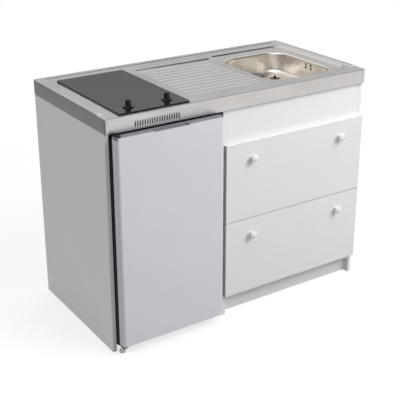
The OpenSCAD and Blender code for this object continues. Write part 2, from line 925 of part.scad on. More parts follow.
// Serpentine tube with upright wires on both faces, clipped to the cabinet's back
module condenser() {
    half = fridge_w / 2 - 45;
    top = coil_z0 + (coil_rows - 1) * coil_pitch;
    color("black")
        translate([fridge_xc, coil_y, 0]) {
            for (i = [0:coil_rows - 1])
                rod([-half, 0, coil_z0 + i * coil_pitch], [half, 0, coil_z0 + i * coil_pitch], coil_r);
            for (i = [0:coil_rows - 2])
                translate([i % 2 == 0 ? half : -half, 0, coil_z0 + (i + 0.5) * coil_pitch])
                    rotate([90, i % 2 == 0 ? -90 : 90, 0])
                        rotate_extrude(angle = 180) translate([coil_pitch / 2, 0]) circle(coil_r);
            for (i = [0:wire_count - 1]) {
                x = (i - (wire_count - 1) / 2) * (2 * half - 10) / (wire_count - 1);
                side = i % 2 == 0 ? 1 : -1;
                translate([x - wire_r, side * coil_r - wire_r, coil_z0 - 10])
                    cube([2 * wire_r, 2 * wire_r, top - coil_z0 + 20]);
            }
            for (s = [-1, 1], z = [coil_z0, top])
                slab([s * (half - 20) - 6, fridge_y1 - coil_y, z - 6], [s * (half - 20) + 6, 1, z + 6]);
        }
}

// Screw foot: a wide pad with a threaded stem
module foot(x, y, top) {
    translate([x, y, 0]) {
        cylinder(r = 12, h = 9);
        cylinder(r = 5, h = top);
    }
}

module fridge_feet() {
    color("lightgray") {
        foot(pivot_x - 3, -284, 30);
        foot(fridge_x1 - 16, fridge_y0 + 14, fridge_z0);
        foot(fridge_x0 + 22, fridge_y1 - 24, fridge_z0);
        foot(fridge_x1 - 22, fridge_y1 - 24, fridge_z0);
    }
}

// Bracket over the door's corner, with the pin that enters the top cap
module upper_hinge() {
    plate_z = door_z1 + hinge_gap;
    plate_t = 2.6;
    half = 11;
    color("dimgray")
        difference() {
            union() {
                slab([pivot_x - half, pivot_y, plate_z], [pivot_x + half, fridge_y0 - 1, plate_z + plate_t]);
                translate([pivot_x, pivot_y, plate_z]) cylinder(r = half, h = plate_t);
                slab([pivot_x - half, fridge_y0 - 4, fridge_z1], [pivot_x + half, fridge_y0 - 1, plate_z]);
                slab([pivot_x - half, fridge_y0 - 4, fridge_z1],
                     [pivot_x + 40, fridge_y0 + 40, fridge_z1 + 3]);
                translate([pivot_x, pivot_y, plate_z - 13]) cylinder(r = pin_r, h = 13);
            }
            for (x = [8, 30])
                translate([pivot_x + x, fridge_y0 + 26, fridge_z1 - 1]) cylinder(r = 2.2, h = 5);
        }
}

// Bracket under the door's corner: plate, pin with a shoulder, and the leg on the cabinet
module lower_hinge() {
    plate_z = fridge_z0 + 6;
    half = 13;
    color("black")
        union() {
            slab([pivot_x - half, pivot_y, plate_z], [pivot_x + half, fridge_y0 - 1, plate_z + 4]);
            translate([pivot_x, pivot_y, plate_z]) cylinder(r = half, h = 4);
            slab([pivot_x - half, fridge_y0 - 4, plate_z], [pivot_x + half + 30, fridge_y0, plate_z + 9]);
            translate([pivot_x, pivot_y, plate_z + 4]) cylinder(r = 8, h = door_z0 - plate_z - 4.4);
            translate([pivot_x, pivot_y, plate_z]) cylinder(r = pin_r, h = door_z0 - plate_z + 13);
        }
}

// Finger recess in the top of the door, grown by g on every side
module finger_scoop(g) {
    translate([fridge_xc, front_y + grip_lip - g, door_z1])
        rotate([-90, 0, 0])
            linear_extrude(grip_depth + 2 * g)
                rounded_rect(grip_w + 2 * g, 2 * grip_floor + 2 * g, 6 + g);
}

// Bores for the hinge pins, at the bottom and the top of the door
module pin_bores() {
    for (z = [door_z0 - 1, door_z1 - 15])
        translate([pivot_x, pivot_y, z]) cylinder(r = pin_r + pin_clear, h = 16);
}

// Foamed door leaf with rolled front edges, and a pocket for the cap's finger cup
module fridge_door() {
    color("lightsteelblue")
        difference() {
            translate([fridge_xc, pivot_y, door_z0])
                linear_extrude(door_z1 - cap_h - door_z0)
                    door_outline(fridge_w, door_t, door_r, 3);
            finger_scoop(grip_wall);
            pin_bores();
        }
}

// Thin moulded cap whose finger cup drops into the leaf behind a lowered front lip
module door_top_cap() {
    cup_reach = grip_floor + 10;
    color("slategray")
        difference() {
            union() {
                translate([fridge_xc, pivot_y, door_z1 - cap_h])
                    linear_extrude(cap_h) door_outline(fridge_w, door_t, door_r, 3);
                intersection() {
                    finger_scoop(grip_wall);
                    slab([fridge_xc - grip_w, front_y, door_z1 - cup_reach],
                         [fridge_xc + grip_w, door_back, door_z1 - cap_h + eps]);
                }
            }
            finger_scoop(0);
            translate([fridge_xc, front_y - 1, door_z1])
                rotate([-90, 0, 0])
                    linear_extrude(grip_lip + 2)
                        rounded_rect(grip_w, 2 * grip_front_drop, grip_front_drop - 0.5);
            pin_bores();
        }
}

// Formed inner skin with two upright cheeks that hold the racks
module door_liner() {
    x0 = gasket_x0 + gasket_w + 0.5;
    x1 = gasket_x1 - gasket_w - 0.5;
    z0 = gasket_z0 + gasket_w + 0.5;
    z1 = gasket_z1 - gasket_w - 0.5;
    color("white") {
        slab([x0, door_back, z0], [x1, door_back + liner_t, z1]);
        for (x = [cheek_x0, cheek_x1 - cheek_t])
            slab([x, door_back + liner_t - eps, cheek_z0], [x + cheek_t, door_back + cheek_out, cheek_z1]);
    }
}

// Hollow magnetic gasket, drawn as a closed frame on the back of the door
module door_gasket() {
    w = gasket_x1 - gasket_x0;
    h = gasket_z1 - gasket_z0;
    color("gray")
        translate([(gasket_x0 + gasket_x1) / 2, door_back, (gasket_z0 + gasket_z1) / 2])
            rotate([-90, 0, 0])
                linear_extrude(gasket_t)
                    difference() {
                        square([w, h], center = true);
                        square([w - 2 * gasket_w, h - 2 * gasket_w], center = true);
                    }
}

// Open-topped rack between the cheeks, with a raised front wall
module door_rack(i) {
    x0 = cheek_x0 + cheek_t;
    x1 = cheek_x1 - cheek_t;
    y0 = door_back + liner_t;
    color("lightcyan")
        difference() {
            slab([x0, y0, rack_z[i]], [x1, y0 + rack_d[i], rack_z[i] + rack_h[i]]);
            slab([x0 + rack_t, y0 + rack_t, rack_z[i] + rack_t],
                 [x1 - rack_t, y0 + rack_d[i] - rack_t, rack_z[i] + rack_h[i] + 1]);
            slab([x0 + rack_t, y0 - 1, rack_z[i] + rack_h[i] / 2],
                 [x1 - rack_t, y0 + rack_t + 1, rack_z[i] + rack_h[i] + 1]);
        }
}

module bottle_rack() {
    door_rack(0);
}

module door_rack_middle() {
    door_rack(1);
}

module door_rack_upper() {
    door_rack(2);
}

// ---------------------------------------------------------------- drawers

// Bottom edge of drawer front i, counted from the floor
function front_z(i) = fronts_z0 + i * (front_h + front_gap);
function box_z(i) = front_z(i) + box_lift;

module drawer_front(i) {
    color("white") slab([front_x0, front_back - front_t, front_z(i)],
                        [front_x1, front_back, front_z(i) + front_h]);
}

module drawer_side(i, left) {
    x = left ? drawer_x0 + side_gap : drawer_x1 - side_gap - side_t;
    color("whitesmoke")
        slab([x, front_back, box_z(i)], [x + side_t, front_back + runner_l, box_z(i) + box_h]);
}

module drawer_back(i) {
    color("whitesmoke")
        slab([drawer_x0 + side_gap + side_t, front_back + runner_l - side_t, box_z(i) + 4 + bottom_t],
             [drawer_x1 - side_gap - side_t, front_back + runner_l, box_z(i) + box_h]);
}

module drawer_bottom(i) {
    color("whitesmoke")
        slab([drawer_x0 + side_gap + side_t, front_back, box_z(i) + 4],
             [drawer_x1 - side_gap - side_t, front_back + runner_l, box_z(i) + 4 + bottom_t]);
}

// Turned mushroom knob: stem, waist and a domed head
module drawer_knob(x, z) {
    dome_r = 24;
    head_h = 11;
    translate([x, front_back - front_t, z])
        rotate([90, 0, 0])
            rotate_extrude() {
                square([6.5, knob_out - 4]);
                square([8.5, 3]);
                intersection() {
                    translate([0, knob_out - head_h]) square([knob_d / 2, head_h]);
                    translate([0, knob_out - dome_r]) circle(dome_r);
                }
            }
}

module drawer_knobs(i) {
    color("white")
        for (s = [-1, 1])
            drawer_knob(drawer_xc + s * knob_x, front_z(i) + front_h - knob_drop);
}

// Puts a slide or a runner drawn for the left side on both sides of the drawer
module on_both_sides() {
    children();
    translate([2 * drawer_xc, 0, 0]) mirror([1, 0, 0]) children();
}

// Angle on the drawer side, with the roller at its rear end
module drawer_slides(i) {
    x = drawer_x0 + side_gap;
    z = box_z(i) - 10;
    flange_z = z + channel_t + 2 * roller_r + 2 * roller_gap;
    roller_y = front_back + runner_l - 22;
    roller_z = z + channel_t + roller_r + roller_gap;
    color("white")
        on_both_sides() {
            slab([x - channel_t, front_back, z + 4], [x, front_back + runner_l, z + 30]);
            slab([x - 10.4, front_back + 2, flange_z],
                 [x - channel_t / 2, front_back + runner_l, flange_z + channel_t]);
            rod([x - 1.6 - roller_w, roller_y, roller_z], [x - 1.6, roller_y, roller_z], roller_r);
            rod([x - 2, roller_y, roller_z], [x - channel_t / 2, roller_y, roller_z], 3);
        }
}

// Channel on the cabinet side, with the roller at its front end
module cabinet_runners(i) {
    x = drawer_x0;
    z = box_z(i) - 10;
    y0 = case_y0 + 3;
    y1 = y0 + runner_l;
    roller_y = y0 + 10;
    roller_z = z + channel_t + roller_r + roller_gap;
    color("white")
        on_both_sides() {
            slab([x, y0, z], [x + channel_t, y1, z + channel_h]);
            slab([x, y0, z], [x + channel_w, y1, z + channel_t]);
            slab([x, y0 + 30, z + channel_h - channel_t], [x + channel_w, y1, z + channel_h]);
            rod([x + channel_t / 2, roller_y, roller_z],
                [x + channel_t + roller_w, roller_y, roller_z], roller_r);
        }
}

module lower_drawer_front() { drawer_front(0); }
module lower_drawer_left_side() { drawer_side(0, true); }
module lower_drawer_right_side() { drawer_side(0, false); }
module lower_drawer_back() { drawer_back(0); }
module lower_drawer_bottom() { drawer_bottom(0); }
module lower_drawer_knobs() { drawer_knobs(0); }
module lower_drawer_slides() { drawer_slides(0); }
module lower_cabinet_runners() { cabinet_runners(0); }
module upper_drawer_front() { drawer_front(1); }
module upper_drawer_left_side() { drawer_side(1, true); }
module upper_drawer_right_side() { drawer_side(1, false); }
module upper_drawer_back() { drawer_back(1); }
module upper_drawer_bottom() { drawer_bottom(1); }
module upper_drawer_knobs() { drawer_knobs(1); }
module upper_drawer_slides() { drawer_slides(1); }
module upper_cabinet_runners() { cabinet_runners(1); }

// ---------------------------------------------------------------- parts

left_side_panel();
middle_panel();
right_side_panel();
base_board();
plinth_board();
fascia_board();
rear_rails();
worktop_sheet();
sink_surround();
worktop_battens();
sink_bowl();
waste_flange();
waste_strainer();
waste_body();
waste_pipe();
overflow_pipe();
trap_body();
hob_glass();
hob_seal();
hob_tray();
heater_front();
heater_rear();
energy_regulators();
hob_knob_left();
hob_knob_right();
fridge_cabinet();
icebox();
icebox_flap();
upper_shelf();
lower_shelf();
thermostat_housing();
thermostat_dial();
compressor();
condenser();
fridge_feet();
upper_hinge();
lower_hinge();
fridge_door();
door_top_cap();
door_liner();
door_gasket();
door_rack_upper();
door_rack_middle();
bottle_rack();
upper_drawer_front();
upper_drawer_left_side();
upper_drawer_right_side();
upper_drawer_back();
upper_drawer_bottom();
upper_drawer_knobs();
upper_drawer_slides();
upper_cabinet_runners();
lower_drawer_front();
lower_drawer_left_side();
lower_drawer_right_side();
lower_drawer_back();
lower_drawer_bottom();
lower_drawer_knobs();
lower_drawer_slides();
lower_cabinet_runners();
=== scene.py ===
import json
import math

import bmesh
import bpy
from mathutils import Matrix, Vector
from mathutils.geometry import delaunay_2d_cdt

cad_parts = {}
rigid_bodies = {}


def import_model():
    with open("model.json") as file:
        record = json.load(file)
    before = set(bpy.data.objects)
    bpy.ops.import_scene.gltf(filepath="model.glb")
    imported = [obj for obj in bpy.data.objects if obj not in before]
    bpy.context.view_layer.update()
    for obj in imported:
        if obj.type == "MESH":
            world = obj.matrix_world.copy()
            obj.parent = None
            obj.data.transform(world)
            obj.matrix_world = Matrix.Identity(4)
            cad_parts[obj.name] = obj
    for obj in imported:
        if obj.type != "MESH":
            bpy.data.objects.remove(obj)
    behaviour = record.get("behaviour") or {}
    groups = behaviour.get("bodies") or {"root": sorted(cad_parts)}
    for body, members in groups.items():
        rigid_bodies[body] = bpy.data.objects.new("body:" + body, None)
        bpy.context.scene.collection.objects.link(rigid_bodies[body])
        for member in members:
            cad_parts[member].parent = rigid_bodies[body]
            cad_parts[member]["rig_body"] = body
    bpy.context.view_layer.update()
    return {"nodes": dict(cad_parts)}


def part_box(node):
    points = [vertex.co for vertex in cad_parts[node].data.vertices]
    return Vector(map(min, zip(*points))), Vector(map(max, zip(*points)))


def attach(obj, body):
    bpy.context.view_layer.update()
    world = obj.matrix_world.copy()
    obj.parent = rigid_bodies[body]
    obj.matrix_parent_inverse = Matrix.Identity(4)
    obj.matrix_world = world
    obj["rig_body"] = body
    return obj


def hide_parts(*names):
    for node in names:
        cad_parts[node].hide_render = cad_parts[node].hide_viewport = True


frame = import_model()
MM = 0.001


# ---------------------------------------------------------------- cabinet boards
# Sides, middle, base, plinth, fascia and rails: 16 mm chipboard faced with white melamine
# paper, with an ironed-on edging at the front. The sawn edges at the back and on the floor
# stay raw. They are held together with glue, dowels and knock-down fittings.

def srgb(code):
    """Linear colour from an sRGB hex code."""
    shares = [int(code[i:i + 2], 16) / 255 for i in (0, 2, 4)]
    return [s / 12.92 if s <= 0.04045 else ((s + 0.055) / 1.055) ** 2.4 for s in shares] + [1]


def plug(tree, node, links):
    """Gives a node's inputs a value, or a link from another node's output."""
    for name, value in links.items():
        if isinstance(value, bpy.types.NodeSocket):
            tree.links.new(value, node.inputs[name])
        else:
            node.inputs[name].default_value = value


def add_node(tree, kind, links=None, **settings):
    """Adds one node with its settings and its links. Sockets go by name, or by number where
    names repeat. On a Mix, 0 is the share, 6 and 7 are the two colours, and 2 and 3 the two
    numbers. On a MapRange, 1 and 2 are the range read, and 3 and 4 the range given."""
    node = tree.nodes.new("ShaderNode" + kind)
    for name, value in settings.items():
        setattr(node, name, value)
    plug(tree, node, links or {})
    return node


def start_finish(name):
    """A new finish: its material, its node tree, its shader and the place in metres."""
    finish = bpy.data.materials.new(name)
    finish.use_nodes = True
    tree = finish.node_tree
    place = add_node(tree, "TexCoord").outputs["Object"]
    return finish, tree, tree.nodes["Principled BSDF"], place


def melamine(name, paper, shade):
    """Melamine paper pressed on a plate with a fine pearl, so it is even and half matt."""
    finish, tree, shader, place = start_finish(name)
    clouds = add_node(tree, "TexNoise", {"Vector": place, "Scale": 1 / (180 * MM), "Detail": 3.0})
    tint = add_node(tree, "Mix", {0: clouds.outputs[0], 6: srgb(paper), 7: srgb(shade)},
                    data_type="RGBA")
    # the pearl is 0.3 mm on the real paper, drawn 1.6 mm wide so that it shows
    pearl = add_node(tree, "TexNoise", {"Vector": place, "Scale": 1 / (1.6 * MM), "Detail": 2.0})
    worn = add_node(tree, "Attribute", attribute_name="worn_edge")
    rubbed = add_node(tree, "TexNoise", {"Vector": place, "Scale": 1 / (22 * MM), "Detail": 4.0})
    wear = add_node(tree, "Math", {0: worn.outputs["Fac"], 1: rubbed.outputs[0]},
                    operation="MULTIPLY")
    edging = add_node(tree, "Mix", {0: wear.outputs[0], 6: tint.outputs[2], 7: srgb("B9B6AE")},
                      data_type="RGBA")
    gloss = add_node(tree, "MapRange", {0: pearl.outputs[0], 3: 0.38, 4: 0.52})
    relief = add_node(tree, "Bump", {"Height": pearl.outputs[0], "Strength": 0.12,
                                     "Distance": 0.2 * MM})
    plug(tree, shader, {"Base Color": edging.outputs[2], "Roughness": gloss.outputs[0],
                        "Normal": relief.outputs[0], "IOR": 1.5})
    return finish, tree, shader, place


def raw_edges(tree, shader, place, back_y, floor_z):
    """Shows the chips of the board where it was sawn, behind back_y and below floor_z."""
    split = add_node(tree, "SeparateXYZ", {0: place})
    at_back = add_node(tree, "Math", {0: split.outputs[1], 1: back_y}, operation="GREATER_THAN")
    at_floor = add_node(tree, "Math", {0: split.outputs[2], 1: floor_z}, operation="LESS_THAN")
    raw = add_node(tree, "Math", {0: at_back.outputs[0], 1: at_floor.outputs[0]},
                   operation="MAXIMUM")
    chips = add_node(tree, "TexVoronoi", {"Vector": place, "Scale": 1 / (2.5 * MM)})
    wood = add_node(tree, "Mix", {0: chips.outputs["Distance"], 6: srgb("8E7048"),
                                  7: srgb("CDB488")}, data_type="RGBA")
    paper = shader.inputs["Base Color"].links[0].from_socket
    both = add_node(tree, "Mix", {0: raw.outputs[0], 6: paper, 7: wood.outputs[2]},
                    data_type="RGBA")
    plug(tree, shader, {"Base Color": both.outputs[2]})


def eased_copy(node, ease, crease=28, steps=2):
    """A copy of a node's mesh, with the edges sharper than crease degrees rounded by ease.
    The round strips are marked worn_edge."""
    work = bmesh.new()
    work.from_mesh(frame["nodes"][node].data)
    bmesh.ops.remove_doubles(work, verts=work.verts, dist=0.002 * MM)
    bmesh.ops.dissolve_limit(work, angle_limit=math.radians(0.5), verts=work.verts,
                             edges=work.edges)
    strips = []
    if ease:
        sharp = [e for e in work.edges
                 if e.is_manifold and e.calc_face_angle(0) > math.radians(crease)]
        strips = bmesh.ops.bevel(work, geom=sharp, offset=ease, offset_type="OFFSET",
                                 segments=steps, profile=0.5, affect="EDGES",
                                 clamp_overlap=True)["faces"]
    worn = work.loops.layers.float.new("worn_edge")
    for face in strips:
        for corner in face.loops:
            corner[worn] = 1
    return finished_piece("finished_" + node, work, crease + 8)


def finished_piece(name, work, crease, gauge=0.0):
    """Turns an edited mesh into an object, smooth but for edges sharper than crease. An open
    sheet gets its gauge on the inner side first."""
    bmesh.ops.recalc_face_normals(work, faces=work.faces)
    shape = bpy.data.meshes.new(name)
    work.to_mesh(shape)
    work.free()
    piece = bpy.data.objects.new(name, shape)
    bpy.context.scene.collection.objects.link(piece)
    if gauge:
        thick = piece.modifiers.new("gauge", "SOLIDIFY")
        thick.thickness = gauge
        thick.offset = -1
        thick.use_even_offset = True
        seen = bpy.context.evaluated_depsgraph_get()
        piece.data = bpy.data.meshes.new_from_object(piece.evaluated_get(seen))
        piece.modifiers.clear()
    piece.data.shade_smooth()
    piece.data.set_sharp_from_angle(angle=math.radians(crease))
    even = piece.modifiers.new("even_shading", "WEIGHTED_NORMAL")
    even.mode = "FACE_AREA"
    even.keep_sharp = True
    return piece


def fit(piece, finish, slot, *nodes):
    """Dresses a piece, and lets it stand for its nodes on the body that carries them."""
    piece.data.materials.append(finish)
    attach(piece, frame["nodes"][nodes[0]]["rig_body"])
    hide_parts(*nodes)


BOARD_EASE = 0.7 * MM
SAWN_SKIN = 0.9 * MM
panel_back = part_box("left_side_panel")[1].y
melamine_board, *board_nodes = melamine("melamine_faced_chipboard", "F2F1F1", "ECEBEB")
raw_edges(*board_nodes, panel_back - SAWN_SKIN, SAWN_SKIN)
for board in ("left_side_panel", "middle_panel", "right_side_panel", "base_board", "plinth_board"):
    fit(eased_copy(board, BOARD_EASE), melamine_board, "board", board)

# the rails and the fascia are edged all round, so no chips show on them
faced_rail = melamine("melamine_faced_rail", "F2F1F1", "ECEBEB")[0]
fit(eased_copy("rear_rails", BOARD_EASE), faced_rail, "board", "rear_rails")
fit(eased_copy("fascia_board", BOARD_EASE), faced_rail, "front", "fascia_board")


# ---------------------------------------------------------------- battens
# Softwood battens under the worktop, planed on four sides and left bare. They are screwed
# to the cabinet and carry the thin sheet.

# planed pine: dull, with pale and brown rings 7 mm apart that run along each batten
RING_GAP = 7 * MM
RING_LENGTH = 160 * MM
pine, tree, shader, place = start_finish("planed_softwood")
stretched = add_node(tree, "Mapping", {"Vector": place,
                                       "Scale": (1 / RING_GAP, 1 / RING_LENGTH, 1 / RING_GAP)})
grain = add_node(tree, "TexNoise", {"Vector": stretched.outputs[0], "Scale": 1.0, "Detail": 5.0})
rings = add_node(tree, "Mix", {0: grain.outputs[0], 6: srgb("C79E66"), 7: srgb("E7CFA0")},
                 data_type="RGBA")
relief = add_node(tree, "Bump", {"Height": grain.outputs[0], "Strength": 0.3,
                                 "Distance": 0.3 * MM})
plug(tree, shader, {"Base Color": rings.outputs[2], "Roughness": 0.62, "Normal": relief.outputs[0]})
fit(eased_copy("worktop_battens", 1.5 * MM), pine, "batten", "worktop_battens")


# ---------------------------------------------------------------- worktop
# One sheet of 1.2 mm stainless steel, pressed with a raised rim, a sunk field for the bowl
# and a ribbed drainer, then folded down 58 mm all round with lapped corners. It is rolled
# and lightly brushed along its length.

sheet_low, sheet_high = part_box("worktop_sheet")
bowl_low, bowl_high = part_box("sink_bowl")
tray_low, tray_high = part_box("hob_tray")
# points closer than WELD become one, HAIR decides which side of a line a point is on, and
# edges sharper than SHEET_CREASE degrees stay crisp
WELD = 0.01 * MM
HAIR = 0.001 * MM
FILL_TOLERANCE = 1e-7
SHEET_CREASE = 40
GAUGE = 1.2 * MM
NOSE = 2.5 * MM
CORNER = 6 * MM
DECK_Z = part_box("hob_seal")[0].z
RECESS_Z = bowl_high.z
TOP_DEPTH = 600 * MM
TOP_SIZE = (sheet_high.x - sheet_low.x, TOP_DEPTH)
TOP_CENTRE = (0.0, sheet_high.y - TOP_SIZE[1] / 2)
FRONT_Y = sheet_high.y - TOP_SIZE[1]
SKIRT_Z = sheet_low.z
RIM_W = 24 * MM
RIM_H = sheet_high.z - DECK_Z
RIM_TURN = 22 * MM
RIM_START = FRONT_Y + 60 * MM
RIM_STEP = 3 * MM
RIM_FADE = 16 * MM
BOWL_LIP = 8 * MM
BOWL_R = 80 * MM
BOWL_SIZE = (316 * MM, 386 * MM)
BOWL_CENTRE = (349 * MM, -7 * MM)
# sunk field round the bowl, and drainer: each a centre, a size and a corner radius
BASIN = ((358 * MM, 14 * MM), (408 * MM, 466 * MM), 55 * MM)
BASIN_STEP = 9 * MM
DRAINER = ((-7 * MM, 16 * MM), (416 * MM, 420 * MM), 28 * MM)
DRAINER_STEP = 7 * MM
DRAINER_DEPTH = 5 * MM
DRAINER_FALL = 2.6 * MM
# share of each pressed step that lies outside its outline
STEP_SPLIT = 0.36
RIBS = 11
RIB_PITCH = 37 * MM
RIB_MARGIN = 32 * MM
RIB_LENGTH = 326 * MM
RIB_FROM = DRAINER[0][0] - DRAINER[1][0] / 2 + RIB_MARGIN
RIB_TO = RIB_FROM + RIB_LENGTH
RIB_HALF = 7 * MM
RIB_H = 1.6 * MM
SLOTS = 19
SLOT_PITCH = 10 * MM
SLOT_SIZE = (5 * MM, 21 * MM)
SLOT_R = 1.2 * MM
SLOT_RISE = 22 * MM
SLOT_CENTRE = ((tray_low.x + tray_high.x) / 2, SKIRT_Z + SLOT_RISE)
CUTOUT_PLAY = 2 * MM
CUTOUT_R = 6 * MM
FLANGE_W = 15 * MM
TAB_SIZE = (11 * MM, 52 * MM)
TAB_R = 1.5 * MM
TAB_BEVEL = 0.15 * MM
TAB_ROOT = 0.2 * MM
TAB_EDGE = 0.35 * MM


def ease_in(t):
    """Rises smoothly from 0 to 1 as t goes from 0 to 1."""
    t = min(max(t, 0.0), 1.0)
    return t * t * (3 - 2 * t)


def depth_inside(x, y, centre, size, radius):
    """How far a point lies inside a rounded rectangle, negative outside it."""
    dx = abs(x - centre[0]) - size[0] / 2 + radius
    dy = abs(y - centre[1]) - size[1] / 2 + radius
    return radius - math.hypot(max(dx, 0), max(dy, 0)) - min(max(dx, dy), 0)


def rounded_loop(centre, size, radius, grow=0.0, steps=8, cuts=1):
    """Points round a rounded rectangle that is grown outwards, with cuts spans a side."""
    points = []
    reach = (size[0] / 2 - radius, size[1] / 2 - radius)
    for i, (sx, sy) in enumerate(((1, 1), (-1, 1), (-1, -1), (1, -1))):
        middle = (centre[0] + sx * reach[0], centre[1] + sy * reach[1])
        for k in range(steps + 1):
            turn = math.radians(90 * i + 90 * k / steps)
            points.append((middle[0] + (radius + grow) * math.cos(turn),
                           middle[1] + (radius + grow) * math.sin(turn)))
        follow = points[-1]
        nx, ny = ((-1, 1), (-1, -1), (1, -1), (1, 1))[i]
        start = math.radians(90 * (i + 1))
        goal = (centre[0] + nx * reach[0] + (radius + grow) * math.cos(start),
                centre[1] + ny * reach[1] + (radius + grow) * math.sin(start))
        for c in range(1, cuts):
            points.append((follow[0] + (goal[0] - follow[0]) * c / cuts,
                           follow[1] + (goal[1] - follow[1]) * c / cuts))
    return points


def rib_axis(i):
    """Place of rib i across the drainer, along y."""
    return DRAINER[0][1] + (i - (RIBS - 1) / 2) * RIB_PITCH


def inside_rim(reach):
    """The deck inside the rim, open at the front: a rounded rectangle that runs out past the
    front edge and is reach worktops deep."""
    size = (TOP_SIZE[0] - 2 * RIM_W, reach * TOP_SIZE[1])
    return (0, sheet_high.y - RIM_W - size[1] / 2), size, RIM_TURN


def deck_height(x, y):
    """Height of the pressed sheet's outer face."""
    out = -depth_inside(x, y, *inside_rim(4))
    rim = RIM_H * ease_in(out / RIM_STEP + 0.5) * ease_in((y - RIM_START) / RIM_FADE + 0.5)
    run = min(max((x - DRAINER[0][0]) / DRAINER[1][0] + 0.5, 0), 1)
    wet = ease_in(depth_inside(x, y, *DRAINER) / DRAINER_STEP + STEP_SPLIT)
    basin = ease_in(depth_inside(x, y, *BASIN) / BASIN_STEP + STEP_SPLIT)
    sunk = max((DRAINER_DEPTH + DRAINER_FALL * run) * wet, (DECK_Z - RECESS_Z) * basin)
    rib = 0.0
    for i in range(RIBS):
        across = abs(y - rib_axis(i))
        if across < RIB_HALF:
            past = max(RIB_FROM - x, x - RIB_TO, 0)
            away = min(math.hypot(across, past) / RIB_HALF, 1)
            rib = RIB_H * math.cos(away * math.pi / 2) ** 2
    return DECK_Z + rim - sunk + rib * wet


def triangulate(loops, keep, lines=()):
    """Fills the plane between closed loops and open lines, in triangles. keep(x, y) says
    whether the triangle with that centre stays."""
    points, edges = [], []
    for group, closed in ((loops, True), (lines, False)):
        for loop in group:
            first = len(points)
            points += [Vector(p) for p in loop]
            edges += [(first + k, first + k + 1) for k in range(len(loop) - 1)]
            if closed:
                edges.append((len(points) - 1, first))
    flat, _, faces, *_ = delaunay_2d_cdt(points, edges, [], 0, FILL_TOLERANCE)
    kept = []
    for face in faces:
        x = sum(flat[k][0] for k in face) / len(face)
        y = sum(flat[k][1] for k in face) / len(face)
        if keep(x, y):
            kept.append(face)
    return flat, kept


def add_faces(work, points, faces):
    """Adds faces over 3-D points to a mesh under construction."""
    corners = [work.verts.new(p) for p in points]
    for face in faces:
        work.faces.new([corners[k] for k in face])


def add_rings(work, rings):
    """Joins closed rings of equal length with quads."""
    corners = [[work.verts.new(p) for p in ring] for ring in rings]
    for low, high in zip(corners, corners[1:]):
        for k in range(len(low)):
            n = (k + 1) % len(low)
            work.faces.new((low[k], low[n], high[n], high[k]))


def edge_ring(inset, drop, fixed_z=None):
    """A ring round the worktop, inset from its outer face and drop below the deck there."""
    ring = []
    # its height is read on the deck, where the nose begins
    base = rounded_loop(TOP_CENTRE, TOP_SIZE, CORNER, -NOSE, 4, 24)
    outer = rounded_loop(TOP_CENTRE, TOP_SIZE, CORNER, -inset, 4, 24)
    for (bx, by), (x, y) in zip(base, outer):
        ring.append((x, y, fixed_z if fixed_z is not None else deck_height(bx, by) - drop))
    return ring


work = bmesh.new()
opening = (BOWL_CENTRE, BOWL_SIZE, BOWL_R)
cutout = ((SLOT_CENTRE[0], (tray_low.y + tray_high.y) / 2),
          (tray_high.x - tray_low.x + CUTOUT_PLAY, tray_high.y - tray_low.y + CUTOUT_PLAY),
          CUTOUT_R)
loops = [[p[:2] for p in edge_ring(NOSE, 0)],
         rounded_loop(*opening, BOWL_LIP, 16, 4),
         rounded_loop(*cutout)]
# lines across each pressed step, in millimetres from its outline, give it points to bend at
for grow in (3.3, 1.8, 0, -2, -4, -6):
    loops.append(rounded_loop(*BASIN, grow * MM, 14, 6))
for grow in (2.6, 1.2, 0, -1.5, -3, -4.6):
    loops.append(rounded_loop(*DRAINER, grow * MM, 10, 6))
for i in range(RIBS):
    middle = ((RIB_FROM + RIB_TO) / 2, rib_axis(i))
    for half in (7, 5.5, 4, 2.5, 1.2):
        loops.append(rounded_loop(middle, (RIB_TO - RIB_FROM + 2 * half * MM, 2 * half * MM),
                                  half * MM - HAIR, 0, 4, 2))
lines = []
for grow in (-2, -1, 0, 1, 2):
    rim = [p for p in rounded_loop(*inside_rim(2), grow * MM, 10, 60)
           if p[1] > RIM_START - 12 * MM]
    start = max(range(len(rim)), key=lambda k: math.dist(rim[k], rim[k - 1]))
    lines.append(rim[start:] + rim[:start])
# and cross lines where the rim runs out at the front
for step in range(-4, 5):
    y = RIM_START + step * 2 * MM
    for side in (-1, 1):
        lines.append([(side * (TOP_SIZE[0] / 2 - NOSE - 0.1 * MM), y),
                      (side * (TOP_SIZE[0] / 2 - RIM_W - 6 * MM), y)])
flat, faces = triangulate(
    loops, lambda x, y: depth_inside(x, y, TOP_CENTRE, TOP_SIZE, CORNER) > NOSE - WELD
    and depth_inside(x, y, *opening) < -BOWL_LIP + WELD
    and depth_inside(x, y, *cutout) < 0, lines)
add_faces(work, [(p[0], p[1], deck_height(p[0], p[1])) for p in flat], faces)

# rounded nose, folded skirt and the return flange under it
nose = [edge_ring(NOSE * (1 - math.sin(math.radians(a))), NOSE * (1 - math.cos(math.radians(a))))
        for a in range(0, 91, 18)]
add_rings(work, nose)
bend = [edge_ring(GAUGE * (1 - math.cos(math.radians(a))), 0,
                  SKIRT_Z + GAUGE * (1 - math.sin(math.radians(a))))
        for a in range(0, 91, 30)]
flange = rounded_loop(TOP_CENTRE, [side - 2 * FLANGE_W for side in TOP_SIZE], 0.1 * MM, 0, 4, 24)
add_rings(work, bend + [[(x, y, SKIRT_Z) for x, y in flange]])
top_ring, low_ring = nose[-1], bend[0]
top_row, low_row = [[work.verts.new(p) for p in ring] for ring in (top_ring, low_ring)]
for k in range(len(top_ring)):
    n = (k + 1) % len(top_ring)
    if max(top_ring[k][1], top_ring[n][1]) >= FRONT_Y + HAIR:
        work.faces.new((top_row[k], top_row[n], low_row[n], low_row[k]))

